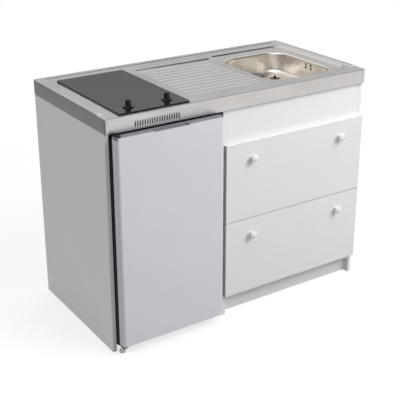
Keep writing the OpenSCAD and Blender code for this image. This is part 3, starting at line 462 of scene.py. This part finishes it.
# the front of the skirt is filled on its own, round the air slots
top_edge = sorted((p[0], p[2]) for p in top_ring if p[1] < FRONT_Y + HAIR)
low_edge = sorted(((p[0], p[2]) for p in low_ring if p[1] < FRONT_Y + HAIR), reverse=True)
slots = [((SLOT_CENTRE[0] + (i - (SLOTS - 1) / 2) * SLOT_PITCH, SLOT_CENTRE[1]), SLOT_SIZE,
          SLOT_R) for i in range(SLOTS)]
flat, faces = triangulate(
    [top_edge + low_edge] + [rounded_loop(*slot, 0, 4) for slot in slots],
    lambda x, z: SKIRT_Z < z and all(depth_inside(x, z, *slot) < 0 for slot in slots))
add_faces(work, [(p[0], FRONT_Y, p[1]) for p in flat], faces)
bmesh.ops.remove_doubles(work, verts=work.verts, dist=WELD)
bmesh.ops.delete(work, geom=[v for v in work.verts if not v.link_faces], context="VERTS")
worktop = finished_piece("pressed_worktop", work, SHEET_CREASE, GAUGE)

# the lapped tabs: the ends of the side skirts, folded round the front corners and welded
work = bmesh.new()
for side in (-1, 1):
    middle = (side * (TOP_SIZE[0] / 2 - CORNER - TAB_SIZE[0] / 2), SKIRT_Z + TAB_SIZE[1] / 2)
    full, bevelled = [
        rounded_loop(middle, [width - 2 * inset for width in TAB_SIZE], TAB_R - inset, 0, 3)
        for inset in (0, TAB_BEVEL)]
    outlines = ((full, FRONT_Y + TAB_ROOT), (full, FRONT_Y - TAB_EDGE), (bevelled, sheet_low.y))
    layers = [[(x, y, z) for x, z in outline] for outline, y in outlines]
    add_rings(work, layers)
    work.faces.new([work.verts.new(p) for p in layers[0]])
    work.faces.new([work.verts.new(p) for p in layers[-1]])
bmesh.ops.remove_doubles(work, verts=work.verts, dist=WELD)
tabs = finished_piece("lapped_corner_tabs", work, SHEET_CREASE)

# brushed steel: a soft mirror of the room under fine marks along x, with duller and brighter
# smears. The marks are 0.1 mm apart on the real sheet, drawn 1.3 mm apart so that they show.
BRUSH_GAP = 1.3 * MM
BRUSH_LENGTH = 140 * MM
steel, tree, shader, place = start_finish("brushed_stainless_steel")
brushed = add_node(tree, "Mapping", {"Vector": place,
                                     "Scale": (1 / BRUSH_LENGTH, 1 / BRUSH_GAP, 1 / BRUSH_GAP)})
marks = add_node(tree, "TexNoise", {"Vector": brushed.outputs[0], "Scale": 1.0, "Detail": 3.0})
smears = add_node(tree, "TexNoise", {"Vector": place, "Scale": 1 / (120 * MM), "Detail": 5.0})
tone = add_node(tree, "MapRange", {0: marks.outputs[0], 1: 0.3, 2: 0.7, 3: 0.0, 4: 1.0})
colour = add_node(tree, "Mix", {0: tone.outputs[0], 6: srgb("C9C6C4"), 7: srgb("D9D6D4")},
                  data_type="RGBA")
gloss = add_node(tree, "MapRange", {0: smears.outputs[0], 1: 0.3, 2: 0.7, 3: 0.27, 4: 0.4})
relief = add_node(tree, "Bump", {"Height": marks.outputs[0], "Strength": 0.12,
                                 "Distance": 0.1 * MM})
plug(tree, shader, {"Base Color": colour.outputs[2], "Metallic": 1.0,
                    "Roughness": gloss.outputs[0], "Normal": relief.outputs[0]})
fit(worktop, steel, "steel_top", "worktop_sheet", "sink_surround")
fit(tabs, steel, "steel_top", "worktop_sheet")


# ---------------------------------------------------------------- bowl
# Deep-drawn stainless steel bowl, welded under the worktop by its rolled lip and ground
# flush. Its walls are drawn satin. Two upright overflow slots, each with a narrow bridge
# across its middle, are punched through the right wall.

flange_low, flange_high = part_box("waste_flange")
BOWL_FOOT = 24 * MM
BOWL_FLOOR = bowl_low.z + GAUGE
LIP_END = RECESS_Z - BOWL_LIP
WASTE = ((flange_low.x + flange_high.x) / 2, (flange_low.y + flange_high.y) / 2)
WASTE_HOLE = 26.5 * MM
OVERFLOW_Y = (-46 * MM, -14 * MM)
OVERFLOW_Z = RECESS_Z - 24 * MM
OVERFLOW_SIZE = (11 * MM, 25 * MM)
OVERFLOW_R = 4.6 * MM
BRIDGE = 2.4 * MM


def bowl_ring(grow, z):
    """A ring round the bowl, grown outwards from its walls."""
    return [(x, y, z) for x, y in rounded_loop(*opening, grow, 16, 4)]


work = bmesh.new()
rings = [bowl_ring(BOWL_LIP * (1 - math.sin(math.radians(a))),
                   RECESS_Z - BOWL_LIP * (1 - math.cos(math.radians(a)))) for a in range(0, 91, 10)]
foot_top = BOWL_FLOOR + BOWL_FOOT
rings += [bowl_ring(-BOWL_FOOT * (1 - math.cos(math.radians(a))),
                    foot_top - BOWL_FOOT * math.sin(math.radians(a))) for a in range(0, 91, 9)]
add_rings(work, rings)
wall_x = BOWL_CENTRE[0] + BOWL_SIZE[0] / 2
half_run = BOWL_SIZE[1] / 2 - BOWL_R
# the flat of the right wall is taken out and filled again round the overflow slots
panel = [f for f in work.faces if all(
    abs(v.co.x - wall_x) < HAIR and abs(v.co.y - BOWL_CENTRE[1]) < half_run + HAIR
    and foot_top - HAIR < v.co.z < LIP_END + HAIR for v in f.verts)]
bmesh.ops.delete(work, geom=panel, context="FACES_ONLY")
cuts = [BOWL_CENTRE[1] - half_run + half_run * k / 2 for k in range(5)]
frame_line = [(y, foot_top) for y in cuts] + [(y, LIP_END) for y in reversed(cuts)]
half_slot = (OVERFLOW_SIZE[0], (OVERFLOW_SIZE[1] - BRIDGE) / 2)
overflow = [((y, OVERFLOW_Z + side * (half_slot[1] + BRIDGE) / 2), half_slot, OVERFLOW_R)
            for y in OVERFLOW_Y for side in (-1, 1)]
flat, faces = triangulate(
    [frame_line] + [rounded_loop(*slot, 0, 6) for slot in overflow],
    lambda y, z: all(depth_inside(y, z, *slot) < 0 for slot in overflow))
add_faces(work, [(wall_x, p[0], p[1]) for p in flat], faces)
hole = (WASTE, (2 * WASTE_HOLE, 2 * WASTE_HOLE), WASTE_HOLE - HAIR)
flat, faces = triangulate(
    [[p[:2] for p in rings[-1]], rounded_loop(*hole, 0, 12)],
    lambda x, y: depth_inside(x, y, *hole) < 0)
add_faces(work, [(p[0], p[1], BOWL_FLOOR) for p in flat], faces)
bmesh.ops.remove_doubles(work, verts=work.verts, dist=WELD)
bmesh.ops.delete(work, geom=[e for e in work.edges if not e.link_faces], context="EDGES")
bowl = finished_piece("drawn_bowl", work, SHEET_CREASE, GAUGE)

# drawn and left satin: a warm, cloudy shine with no marks that run one way. Its grain is
# 0.2 mm on the real bowl, drawn 1.4 mm wide so that it shows.
satin, tree, shader, place = start_finish("satin_drawn_stainless_steel")
grain = add_node(tree, "TexNoise", {"Vector": place, "Scale": 1 / (1.4 * MM), "Detail": 3.0})
clouds = add_node(tree, "TexNoise", {"Vector": place, "Scale": 1 / (60 * MM), "Detail": 4.0})
colour = add_node(tree, "Mix", {0: clouds.outputs[0], 6: srgb("DAD5CD"), 7: srgb("EAE5DE")},
                  data_type="RGBA")
gloss = add_node(tree, "MapRange", {0: clouds.outputs[0], 1: 0.3, 2: 0.7, 3: 0.32, 4: 0.36})
relief = add_node(tree, "Bump", {"Height": grain.outputs[0], "Strength": 0.06,
                                 "Distance": 0.1 * MM})
plug(tree, shader, {"Base Color": colour.outputs[2], "Metallic": 1.0,
                    "Roughness": gloss.outputs[0], "Normal": relief.outputs[0]})
fit(bowl, satin, "steel_bowl", "sink_bowl")


# ---------------------------------------------------------------- waste
# Pressed steel flange over a white polypropylene waste, pipe and bottle trap, with a grey
# hose from the overflow and a black lift-out strainer. Moulded parts, screwed up by hand.

SKIN_GRAIN = 0.9 * MM


def moulded(name, pigment, shade, rough):
    """Injection-moulded plastic: one even pigment, soft gloss and a fine spark-eroded skin."""
    finish, tree, shader, place = start_finish(name)
    clouds = add_node(tree, "TexNoise", {"Vector": place, "Scale": 1 / (45 * MM), "Detail": 3.0})
    tint = add_node(tree, "Mix", {0: clouds.outputs[0], 6: srgb(pigment), 7: srgb(shade)},
                    data_type="RGBA")
    worn = add_node(tree, "Attribute", attribute_name="worn_edge")
    rubbed = add_node(tree, "MapRange", {0: worn.outputs["Fac"], 3: rough, 4: rough * 0.75})
    # the skin's grain is 0.1 mm on the real part, drawn 0.9 mm wide so that it shows
    skin = add_node(tree, "TexNoise", {"Vector": place, "Scale": 1 / SKIN_GRAIN, "Detail": 2.0})
    relief = add_node(tree, "Bump", {"Height": skin.outputs[0], "Strength": 0.12,
                                     "Distance": 0.2 * MM})
    plug(tree, shader, {"Base Color": tint.outputs[2], "Roughness": rubbed.outputs[0],
                        "Normal": relief.outputs[0], "IOR": 1.46})
    return finish


white_plastic = moulded("white_polypropylene", "F1F0EC", "E9E8E3", 0.4)
grey_plastic = moulded("grey_polypropylene", "8B8D90", "7E8083", 0.42)
fit(eased_copy("waste_flange", 0.3 * MM), satin, "steel_bowl", "waste_flange")
for part in ("waste_body", "waste_pipe", "trap_body"):
    fit(eased_copy(part, 0.5 * MM), white_plastic, "white_plastic", part)
fit(eased_copy("overflow_pipe", 0.5 * MM), grey_plastic, "grey_plastic", "overflow_pipe")
black_plastic = moulded("black_polyamide", "121213", "1A1A1B", 0.36)
fit(eased_copy("waste_strainer", 0.2 * MM), black_plastic, "black_plastic", "waste_strainer")


# ---------------------------------------------------------------- hob
# Black ceramic glass on a rubber seal, with a galvanised tray under it that carries two
# radiant heaters and their regulators. The two black knobs push on spindles through the glass.

# ceramic glass: near black and polished, with a faint violet in its mirror and a thin haze
ceramic, tree, shader, place = start_finish("black_glass_ceramic")
haze = add_node(tree, "TexNoise", {"Vector": place, "Scale": 1 / (90 * MM), "Detail": 5.0})
tint = add_node(tree, "Mix", {0: haze.outputs[0], 6: srgb("0B0A0C"), 7: srgb("111013")},
                data_type="RGBA")
gloss = add_node(tree, "MapRange", {0: haze.outputs[0], 1: 0.35, 2: 0.7, 3: 0.03, 4: 0.09})
plug(tree, shader, {"Base Color": tint.outputs[2], "Roughness": gloss.outputs[0], "IOR": 1.5,
                    "Specular Tint": srgb("F3EAFF")})
fit(eased_copy("hob_glass", 0.8 * MM, steps=3), ceramic, "hob_glass", "hob_glass")

# silicone rubber: dull black with a patchy grey bloom
rubber, tree, shader, place = start_finish("black_silicone_rubber")
bloom = add_node(tree, "TexNoise", {"Vector": place, "Scale": 1 / (6 * MM), "Detail": 4.0})
tint = add_node(tree, "Mix", {0: bloom.outputs[0], 6: srgb("0D0D0E"), 7: srgb("1B1B1C")},
                data_type="RGBA")
relief = add_node(tree, "Bump", {"Height": bloom.outputs[0], "Strength": 0.2,
                                 "Distance": 0.2 * MM})
plug(tree, shader, {"Base Color": tint.outputs[2], "Roughness": 0.7, "Normal": relief.outputs[0]})
fit(eased_copy("hob_seal", 0.4 * MM), rubber, "seal_rubber", "hob_seal")

# galvanised sheet: pale grey metal in crystals about 9 mm across, each of them paler and
# duller toward its border
galvanised, tree, shader, place = start_finish("galvanised_sheet_steel")
spangle = add_node(tree, "TexVoronoi", {"Vector": place, "Scale": 1 / (9 * MM)})
tint = add_node(tree, "Mix", {0: spangle.outputs["Distance"], 6: srgb("A9ADB0"), 7: srgb("C3C7CA")},
                data_type="RGBA")
gloss = add_node(tree, "MapRange", {0: spangle.outputs["Distance"], 3: 0.3, 4: 0.48})
plug(tree, shader, {"Base Color": tint.outputs[2], "Metallic": 1.0, "Roughness": gloss.outputs[0]})
fit(eased_copy("hob_tray", 0.15 * MM), galvanised, "plated_sheet", "hob_tray")

# pressed fibre board in a thin pan: chalky and off-white, with no shine
heater_board, tree, shader, place = start_finish("aluminised_pan_and_insulation")
fibre = add_node(tree, "TexNoise", {"Vector": place, "Scale": 1 / (3 * MM), "Detail": 5.0})
tint = add_node(tree, "Mix", {0: fibre.outputs[0], 6: srgb("B9B4AA"), 7: srgb("D8D4CA")},
                data_type="RGBA")
relief = add_node(tree, "Bump", {"Height": fibre.outputs[0], "Strength": 0.3,
                                 "Distance": 0.4 * MM})
plug(tree, shader, {"Base Color": tint.outputs[2], "Roughness": 0.75, "Normal": relief.outputs[0]})
for part in ("heater_front", "heater_rear"):
    fit(eased_copy(part, 0.2 * MM), heater_board, "heater_pan", part)

beige_plastic = moulded("beige_bakelite", "CDBFA0", "C2B393", 0.5)
fit(eased_copy("energy_regulators", 0.6 * MM), beige_plastic, "beige_plastic", "energy_regulators")

for part in ("hob_knob_left", "hob_knob_right"):
    fit(eased_copy(part, 0.4 * MM), black_plastic, "black_plastic", part)


# ---------------------------------------------------------------- refrigerator cabinet
# Foamed steel shell with a vacuum-formed polystyrene lining, a folded aluminium icebox,
# two glass shelves, a thermostat, and the compressor and condenser at the back.

ORANGE_PEEL = 2.4 * MM


def lacquered(name, paint, shade, rough):
    """Paint or enamel that has flowed out: even colour under a faint orange peel, duller
    where the edges are rubbed."""
    finish, tree, shader, place = start_finish(name)
    clouds = add_node(tree, "TexNoise", {"Vector": place, "Scale": 1 / (140 * MM), "Detail": 3.0})
    tint = add_node(tree, "Mix", {0: clouds.outputs[0], 6: srgb(paint), 7: srgb(shade)},
                    data_type="RGBA")
    worn = add_node(tree, "Attribute", attribute_name="worn_edge")
    patches = add_node(tree, "TexNoise", {"Vector": place, "Scale": 1 / (9 * MM), "Detail": 5.0})
    rubbed = add_node(tree, "Math", {0: worn.outputs["Fac"], 1: patches.outputs[0]},
                      operation="MULTIPLY")
    gloss = add_node(tree, "MapRange", {0: rubbed.outputs[0], 3: rough, 4: rough + 0.2})
    peel = add_node(tree, "TexNoise", {"Vector": place, "Scale": 1 / ORANGE_PEEL, "Detail": 1.0})
    relief = add_node(tree, "Bump", {"Height": peel.outputs[0], "Strength": 0.08,
                                     "Distance": 0.3 * MM})
    plug(tree, shader, {"Base Color": tint.outputs[2], "Roughness": gloss.outputs[0],
                        "Normal": relief.outputs[0], "IOR": 1.5})
    return finish


white_lining = moulded("white_polystyrene", "F3F3F1", "ECECEA", 0.28)
white_steel = lacquered("white_powder_coated_steel", "EDEDEB", "E4E4E2", 0.42)
black_steel = lacquered("black_enamelled_steel", "161617", "1E1E20", 0.38)
# the charcoal is painted shade: it darkens the outer shell so that the gaps round the door read
# black
shell_painted_shade = lacquered("charcoal_steel_painted_shade", "2C2D30", "252629", 0.4)

# the lining is white inside; every face within 6 mm of the outline is the shell, painted charcoal
# as painted shade so that the gaps round the door read black
SHELL_SKIN = 6 * MM
shell = eased_copy("fridge_cabinet", 2.5 * MM, steps=3)
shell_low, shell_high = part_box("fridge_cabinet")
fit(shell, white_lining, "fridge_shell", "fridge_cabinet")
shell.data.materials.append(shell_painted_shade)
for face in shell.data.polygons:
    at = face.center
    if (min(at.x - shell_low.x, shell_high.x - at.x, at.y - shell_low.y, shell_high.y - at.y,
            at.z - shell_low.z, shell_high.z - at.z) < SHELL_SKIN):
        face.material_index = 1

# anodised sheet: pale, silky metal with rolling lines along x. They are 0.1 mm apart on the
# real sheet, drawn 1.6 mm apart so that they show.
ROLL_GAP = 1.6 * MM
ROLL_LENGTH = 90 * MM
anodised, tree, shader, place = start_finish("anodised_aluminium_sheet")
rolled = add_node(tree, "Mapping", {"Vector": place,
                                    "Scale": (1 / ROLL_LENGTH, 1 / ROLL_GAP, 1 / ROLL_GAP)})
grain = add_node(tree, "TexNoise", {"Vector": rolled.outputs[0], "Scale": 1.0, "Detail": 3.0})
tint = add_node(tree, "Mix", {0: grain.outputs[0], 6: srgb("C4C8CC"), 7: srgb("DBDEE1")},
                data_type="RGBA")
relief = add_node(tree, "Bump", {"Height": grain.outputs[0], "Strength": 0.15,
                                 "Distance": 0.1 * MM})
plug(tree, shader, {"Base Color": tint.outputs[2], "Metallic": 1.0, "Roughness": 0.42,
                    "Normal": relief.outputs[0]})
fit(eased_copy("icebox", 0.4 * MM), anodised, "freezer_metal", "icebox")
ice_flap_plastic = moulded("pale_blue_polystyrene", "E4EDF2", "D9E4EB", 0.25)
fit(eased_copy("icebox_flap", 0.5 * MM), ice_flap_plastic, "clear_plastic", "icebox_flap")

# toughened glass: clear with a green cast, and wiped smears that dull it in places
shelf_pane, tree, shader, place = start_finish("toughened_shelf_glass")
film = add_node(tree, "TexNoise", {"Vector": place, "Scale": 1 / (70 * MM), "Detail": 4.0})
gloss = add_node(tree, "MapRange", {0: film.outputs[0], 1: 0.3, 2: 0.8, 3: 0.02, 4: 0.12})
tint = add_node(tree, "Mix", {0: film.outputs[0], 6: srgb("DDEDE6"), 7: srgb("EAF4EF")},
                data_type="RGBA")
plug(tree, shader, {"Base Color": tint.outputs[2], "Roughness": gloss.outputs[0], "IOR": 1.52,
                    "Transmission Weight": 0.85})
for part in ("upper_shelf", "lower_shelf"):
    fit(eased_copy(part, 0.6 * MM), shelf_pane, "shelf_glass", part)
for part in ("thermostat_housing", "thermostat_dial"):
    fit(eased_copy(part, 0.8 * MM), white_plastic, "white_plastic", part)
fit(eased_copy("compressor", 0.8 * MM), black_steel, "black_steel", "compressor")
fit(eased_copy("condenser", 0), black_steel, "black_steel", "condenser")
fit(eased_copy("fridge_feet", 0.5 * MM), white_plastic, "white_plastic", "fridge_feet")
for part in ("upper_hinge", "lower_hinge"):
    fit(eased_copy(part, 0.5 * MM), black_steel, "black_steel", part)


# ---------------------------------------------------------------- refrigerator door
# Foam-filled door with a rolled steel skin, a moulded cap with a finger recess on top, a
# formed liner with cheeks for the racks, and a grey magnetic gasket pressed in behind it.

door_skin = lacquered("silver_enamelled_steel", "DFE0E6", "DADBE1", 0.3)
# the cap's grey is partly painted shade, and the silver of its lip is a painted highlight
cap_grey_and_painted_shade = moulded("grey_abs", "8E9098", "85878F", 0.3)
lip_painted_highlight = moulded("silver_abs_painted_highlight", "E2E3E8", "DADBE1", 0.22)
gasket_vinyl = moulded("grey_vinyl", "B9BBBD", "AEB0B2", 0.55)

# clear styrene: see-through and bright, with hazy patches where it has been handled
clear_styrene, tree, shader, place = start_finish("clear_polystyrene")
film = add_node(tree, "TexNoise", {"Vector": place, "Scale": 1 / (30 * MM), "Detail": 4.0})
gloss = add_node(tree, "MapRange", {0: film.outputs[0], 1: 0.3, 2: 0.8, 3: 0.05, 4: 0.2})
tint = add_node(tree, "Mix", {0: film.outputs[0], 6: srgb("EAF1F4"), 7: srgb("F4F8FA")},
                data_type="RGBA")
plug(tree, shader, {"Base Color": tint.outputs[2], "Roughness": gloss.outputs[0], "IOR": 1.57,
                    "Transmission Weight": 0.8})
SKIN_CREASE = 50
fit(eased_copy("fridge_door", 1.2 * MM, SKIN_CREASE), door_skin, "fridge_skin", "fridge_door")

# the cap's front is painted silver like the door, a painted highlight along its lip
# its top and recess are a darker grey: the cap's own grey, darkened further as painted shade
CAP_EASE = 2 * MM
cap = eased_copy("door_top_cap", CAP_EASE, SKIN_CREASE, steps=3)
fit(cap, cap_grey_and_painted_shade, "grey_plastic", "door_top_cap")
cap.data.materials.append(lip_painted_highlight)
cap_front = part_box("door_top_cap")[0].y
for face in cap.data.polygons:
    if face.center.y < cap_front + CAP_EASE:
        face.material_index = 1
fit(eased_copy("door_liner", 3 * MM, steps=3), white_lining, "white_plastic", "door_liner")
fit(eased_copy("door_gasket", 2 * MM, steps=3), gasket_vinyl, "gasket_rubber", "door_gasket")
for part in ("door_rack_upper", "door_rack_middle", "bottle_rack"):
    fit(eased_copy(part, 0.8 * MM), clear_styrene, "clear_plastic", part)


# ---------------------------------------------------------------- drawers
# Two wide drawers: chipboard boxes behind foil-wrapped fronts, on powder-coated roller
# runners. Each front has two turned knobs, screwed on from behind.

foil_front = melamine("white_foil_front", "ECEBED", "E7E6E8")[0]
knob_lacquer = lacquered("white_lacquered_wood", "F4F3F2", "ECEBEA", 0.25)
for drawer in ("upper_drawer", "lower_drawer"):
    fit(eased_copy(drawer + "_front", 1.0 * MM, steps=3), foil_front, "front", drawer + "_front")
    for part in ("_left_side", "_right_side", "_back", "_bottom"):
        fit(eased_copy(drawer + part, 0.6 * MM), melamine_board, "board", drawer + part)
    fit(eased_copy(drawer + "_knobs", 0.3 * MM), knob_lacquer, "white_plastic", drawer + "_knobs")
    fit(eased_copy(drawer + "_slides", 0.3 * MM), white_steel, "white_steel", drawer + "_slides")
    runners = drawer.replace("drawer", "cabinet") + "_runners"
    fit(eased_copy(runners, 0.3 * MM), white_steel, "white_steel", runners)


# ---------------------------------------------------------------- studio
# A pale floor that fades into a white surround, three soft lamps, and the camera where the
# photograph was taken from.

FLOOR_REACH = 24.0
FLOOR_GAP = 1 * MM
work = bmesh.new()
bmesh.ops.create_grid(work, x_segments=8, y_segments=8, size=FLOOR_REACH)
floor_mesh = bpy.data.meshes.new("studio_floor")
work.to_mesh(floor_mesh)
work.free()
floor = bpy.data.objects.new("studio_floor", floor_mesh)
floor.location.z = -FLOOR_GAP
bpy.context.scene.collection.objects.link(floor)

# matt paper that takes the shadow near the cabinet and turns to plain white 1.1 to 2.6 m
# away. Light that bounces off it onto the cabinet comes from a plain grey instead.
paper = bpy.data.materials.new("white_studio_paper")
paper.use_nodes = True
tree = paper.node_tree
tree.nodes.remove(tree.nodes["Principled BSDF"])
path = add_node(tree, "LightPath")
place = add_node(tree, "TexCoord").outputs["Object"]
away = add_node(tree, "VectorMath", {0: place}, operation="LENGTH")
fade = add_node(tree, "MapRange", {0: away.outputs["Value"], 1: 1.1, 2: 2.6, 3: 0.0, 4: 1.0},
                interpolation_type="SMOOTHSTEP")
seen = add_node(tree, "Math", {0: path.outputs["Is Camera Ray"], 1: path.outputs["Is Glossy Ray"]},
                operation="MAXIMUM")
seen = add_node(tree, "Math", {0: seen.outputs[0], 1: path.outputs["Is Transmission Ray"]},
                operation="MAXIMUM")
matt = add_node(tree, "BsdfDiffuse", {"Color": srgb("9A9A9A")})
glow = add_node(tree, "Emission", {"Color": srgb("FFFFFF"), "Strength": 0.72})
shaded = add_node(tree, "AddShader", {0: matt.outputs[0], 1: glow.outputs[0]})
white = add_node(tree, "Emission", {"Color": srgb("FFFFFF"), "Strength": 1.0})
near = add_node(tree, "MixShader", {0: fade.outputs[0], 1: shaded.outputs[0], 2: white.outputs[0]})
# what polished faces see of the floor darkens from 0.6 to 1.9 m to the left, as under a flag
across = add_node(tree, "SeparateXYZ", {0: place})
flag = add_node(tree, "MapRange", {0: across.outputs[0], 1: -1.9, 2: -0.6, 3: 0.15, 4: 1.0})
kept = add_node(tree, "Mix", {0: path.outputs["Is Glossy Ray"], 2: 1.0, 3: flag.outputs[0]})
shown = add_node(tree, "MixShader", {0: kept.outputs[0], 2: near.outputs[0]})
plain = add_node(tree, "BsdfDiffuse", {"Color": srgb("8A8A8A")})
either = add_node(tree, "MixShader", {0: seen.outputs[0], 1: plain.outputs[0], 2: shown.outputs[0]})
plug(tree, tree.nodes["Material Output"], {"Surface": either.outputs[0]})
floor_mesh.materials.append(paper)

# the surround is white to the eye, and plain grey light on the cabinet
world = bpy.data.worlds.new("white_studio")
bpy.context.scene.world = world
world.use_nodes = True
tree = world.node_tree
path = add_node(tree, "LightPath")
toward = add_node(tree, "SeparateXYZ", {0: add_node(tree, "TexCoord").outputs["Generated"]})
# what polished faces mirror: a pale wall, brighter upwards, with a dark curtain over the
# front right, a window at the front left above a sill, and the grey flag low on the left.
# The ranges read are shares of a direction: x to the right, y to the wall, z straight up.
pale = add_node(tree, "MapRange", {0: toward.outputs[2], 1: 0.2, 2: 0.45, 3: 0.32, 4: 1.02})
front = add_node(tree, "MapRange", {0: toward.outputs[1], 1: -0.25, 2: 0.15, 3: 1.0, 4: 0.0},
                 interpolation_type="SMOOTHSTEP")
right_half = add_node(tree, "MapRange", {0: toward.outputs[0], 1: 0.1, 2: 0.35, 3: 0.0, 4: 1.0})
high = add_node(tree, "MapRange", {0: toward.outputs[2], 1: 0.28, 2: 0.48, 3: 0.0, 4: 1.0})
overhead = add_node(tree, "MapRange", {0: toward.outputs[2], 1: 0.8, 2: 0.95, 3: 0.0, 4: 1.0})
curtain = add_node(tree, "Math", {0: right_half.outputs[0], 1: high.outputs[0]},
                   operation="MULTIPLY")
curtain = add_node(tree, "Math", {0: curtain.outputs[0], 1: overhead.outputs[0]},
                   operation="MAXIMUM")
curtain = add_node(tree, "Math", {0: curtain.outputs[0], 1: front.outputs[0]},
                   operation="MULTIPLY")
room = add_node(tree, "MapRange", {0: curtain.outputs[0], 3: 1.0, 4: 0.04})
window = add_node(tree, "MapRange", {0: toward.outputs[0], 1: -0.45, 2: -0.1, 3: 5.0, 4: 0.7})
facing = add_node(tree, "MapRange", {0: toward.outputs[1], 1: -0.5, 2: -0.15, 3: 1.0, 4: 0.0})
sill = add_node(tree, "MapRange", {0: toward.outputs[2], 1: 0.36, 2: 0.5, 3: 0.0, 4: 1.0})
facing = add_node(tree, "Math", {0: facing.outputs[0], 1: sill.outputs[0]},
                  operation="MULTIPLY")
gain = add_node(tree, "Mix", {0: facing.outputs[0], 2: 1.0, 3: window.outputs[0]})
right_of = add_node(tree, "MapRange", {0: toward.outputs[0], 1: -0.5, 2: 0.0, 3: 0.15, 4: 1.0})
above = add_node(tree, "MapRange", {0: toward.outputs[2], 1: 0.05, 2: 0.35, 3: 0.15, 4: 1.0})
open_side = add_node(tree, "Math", {0: right_of.outputs[0], 1: above.outputs[0]},
                     operation="MAXIMUM")
level = add_node(tree, "Math", {0: pale.outputs[0], 1: room.outputs[0]}, operation="MULTIPLY")
level = add_node(tree, "Math", {0: level.outputs[0], 1: gain.outputs[0]}, operation="MULTIPLY")
level = add_node(tree, "Math", {0: level.outputs[0], 1: open_side.outputs[0]}, operation="MULTIPLY")
lit = add_node(tree, "Background", {"Color": srgb("FFFFFF"), "Strength": 0.4})
shine = add_node(tree, "Background", {"Color": srgb("FFFFFF"), "Strength": level.outputs[0]})
white = add_node(tree, "Background", {"Color": srgb("FFFFFF"), "Strength": 1.0})
glossy = add_node(tree, "MixShader", {0: path.outputs["Is Glossy Ray"], 1: lit.outputs[0],
                                      2: shine.outputs[0]})
seen = add_node(tree, "Math", {0: path.outputs["Is Camera Ray"],
                               1: path.outputs["Is Transmission Ray"]}, operation="MAXIMUM")
either = add_node(tree, "MixShader", {0: seen.outputs[0], 1: glossy.outputs[0],
                                      2: white.outputs[0]})
plug(tree, tree.nodes["World Output"], {"Surface": either.outputs[0]})

# three softboxes aimed at the middle of the cabinet: each a place, a width in metres and
# its watts. Nothing mirrors them, so they leave no square patches on the steel.
AIM = Vector((0.0, 0.0, 0.5))
for name, spot, size, watts in (("key_softbox", (1.7, -2.6, 3.2), 2.8, 144),
                                ("fill_softbox", (-3.0, 0.2, 2.3), 1.6, 18),
                                ("top_softbox", (0.4, 1.0, 3.4), 1.6, 30)):
    light = bpy.data.lights.new(name, "AREA")
    light.shape = "SQUARE"
    light.size = size
    light.energy = watts
    lamp = bpy.data.objects.new(name, light)
    lamp.visible_glossy = False
    lamp.location = spot
    lamp.rotation_euler = (AIM - Vector(spot)).to_track_quat("-Z", "Y").to_euler()
    bpy.context.scene.collection.objects.link(lamp)

# the camera, fitted to the corners of the worktop and the fronts
CAMERA_SPOT = (-1.9258, -2.8920, 1.8904)
CAMERA_YAW = math.radians(33.2912)
CAMERA_PITCH = math.radians(21.0781)
CAMERA_ROLL = math.radians(-0.1061)
LENS_MM = 80.916
LENS_SHIFT = -0.09
FAR_END = 200
lens = bpy.data.cameras.new("photo_camera")
lens.lens = LENS_MM
lens.sensor_width = 36
lens.shift_y = LENS_SHIFT
lens.clip_end = FAR_END
camera = bpy.data.objects.new("photo_camera", lens)
ahead = Vector((math.sin(CAMERA_YAW) * math.cos(CAMERA_PITCH),
                math.cos(CAMERA_YAW) * math.cos(CAMERA_PITCH), -math.sin(CAMERA_PITCH)))
right = ahead.cross(Vector((0, 0, 1))).normalized()
up = right.cross(ahead)
tilt = Matrix.Rotation(CAMERA_ROLL, 3, "Z")
turn = Matrix((right, up, -ahead)).transposed() @ tilt
camera.matrix_world = Matrix.Translation(CAMERA_SPOT) @ turn.to_4x4()
bpy.context.scene.collection.objects.link(camera)
bpy.context.scene.camera = camera
bpy.context.scene.view_settings.view_transform = "Standard"
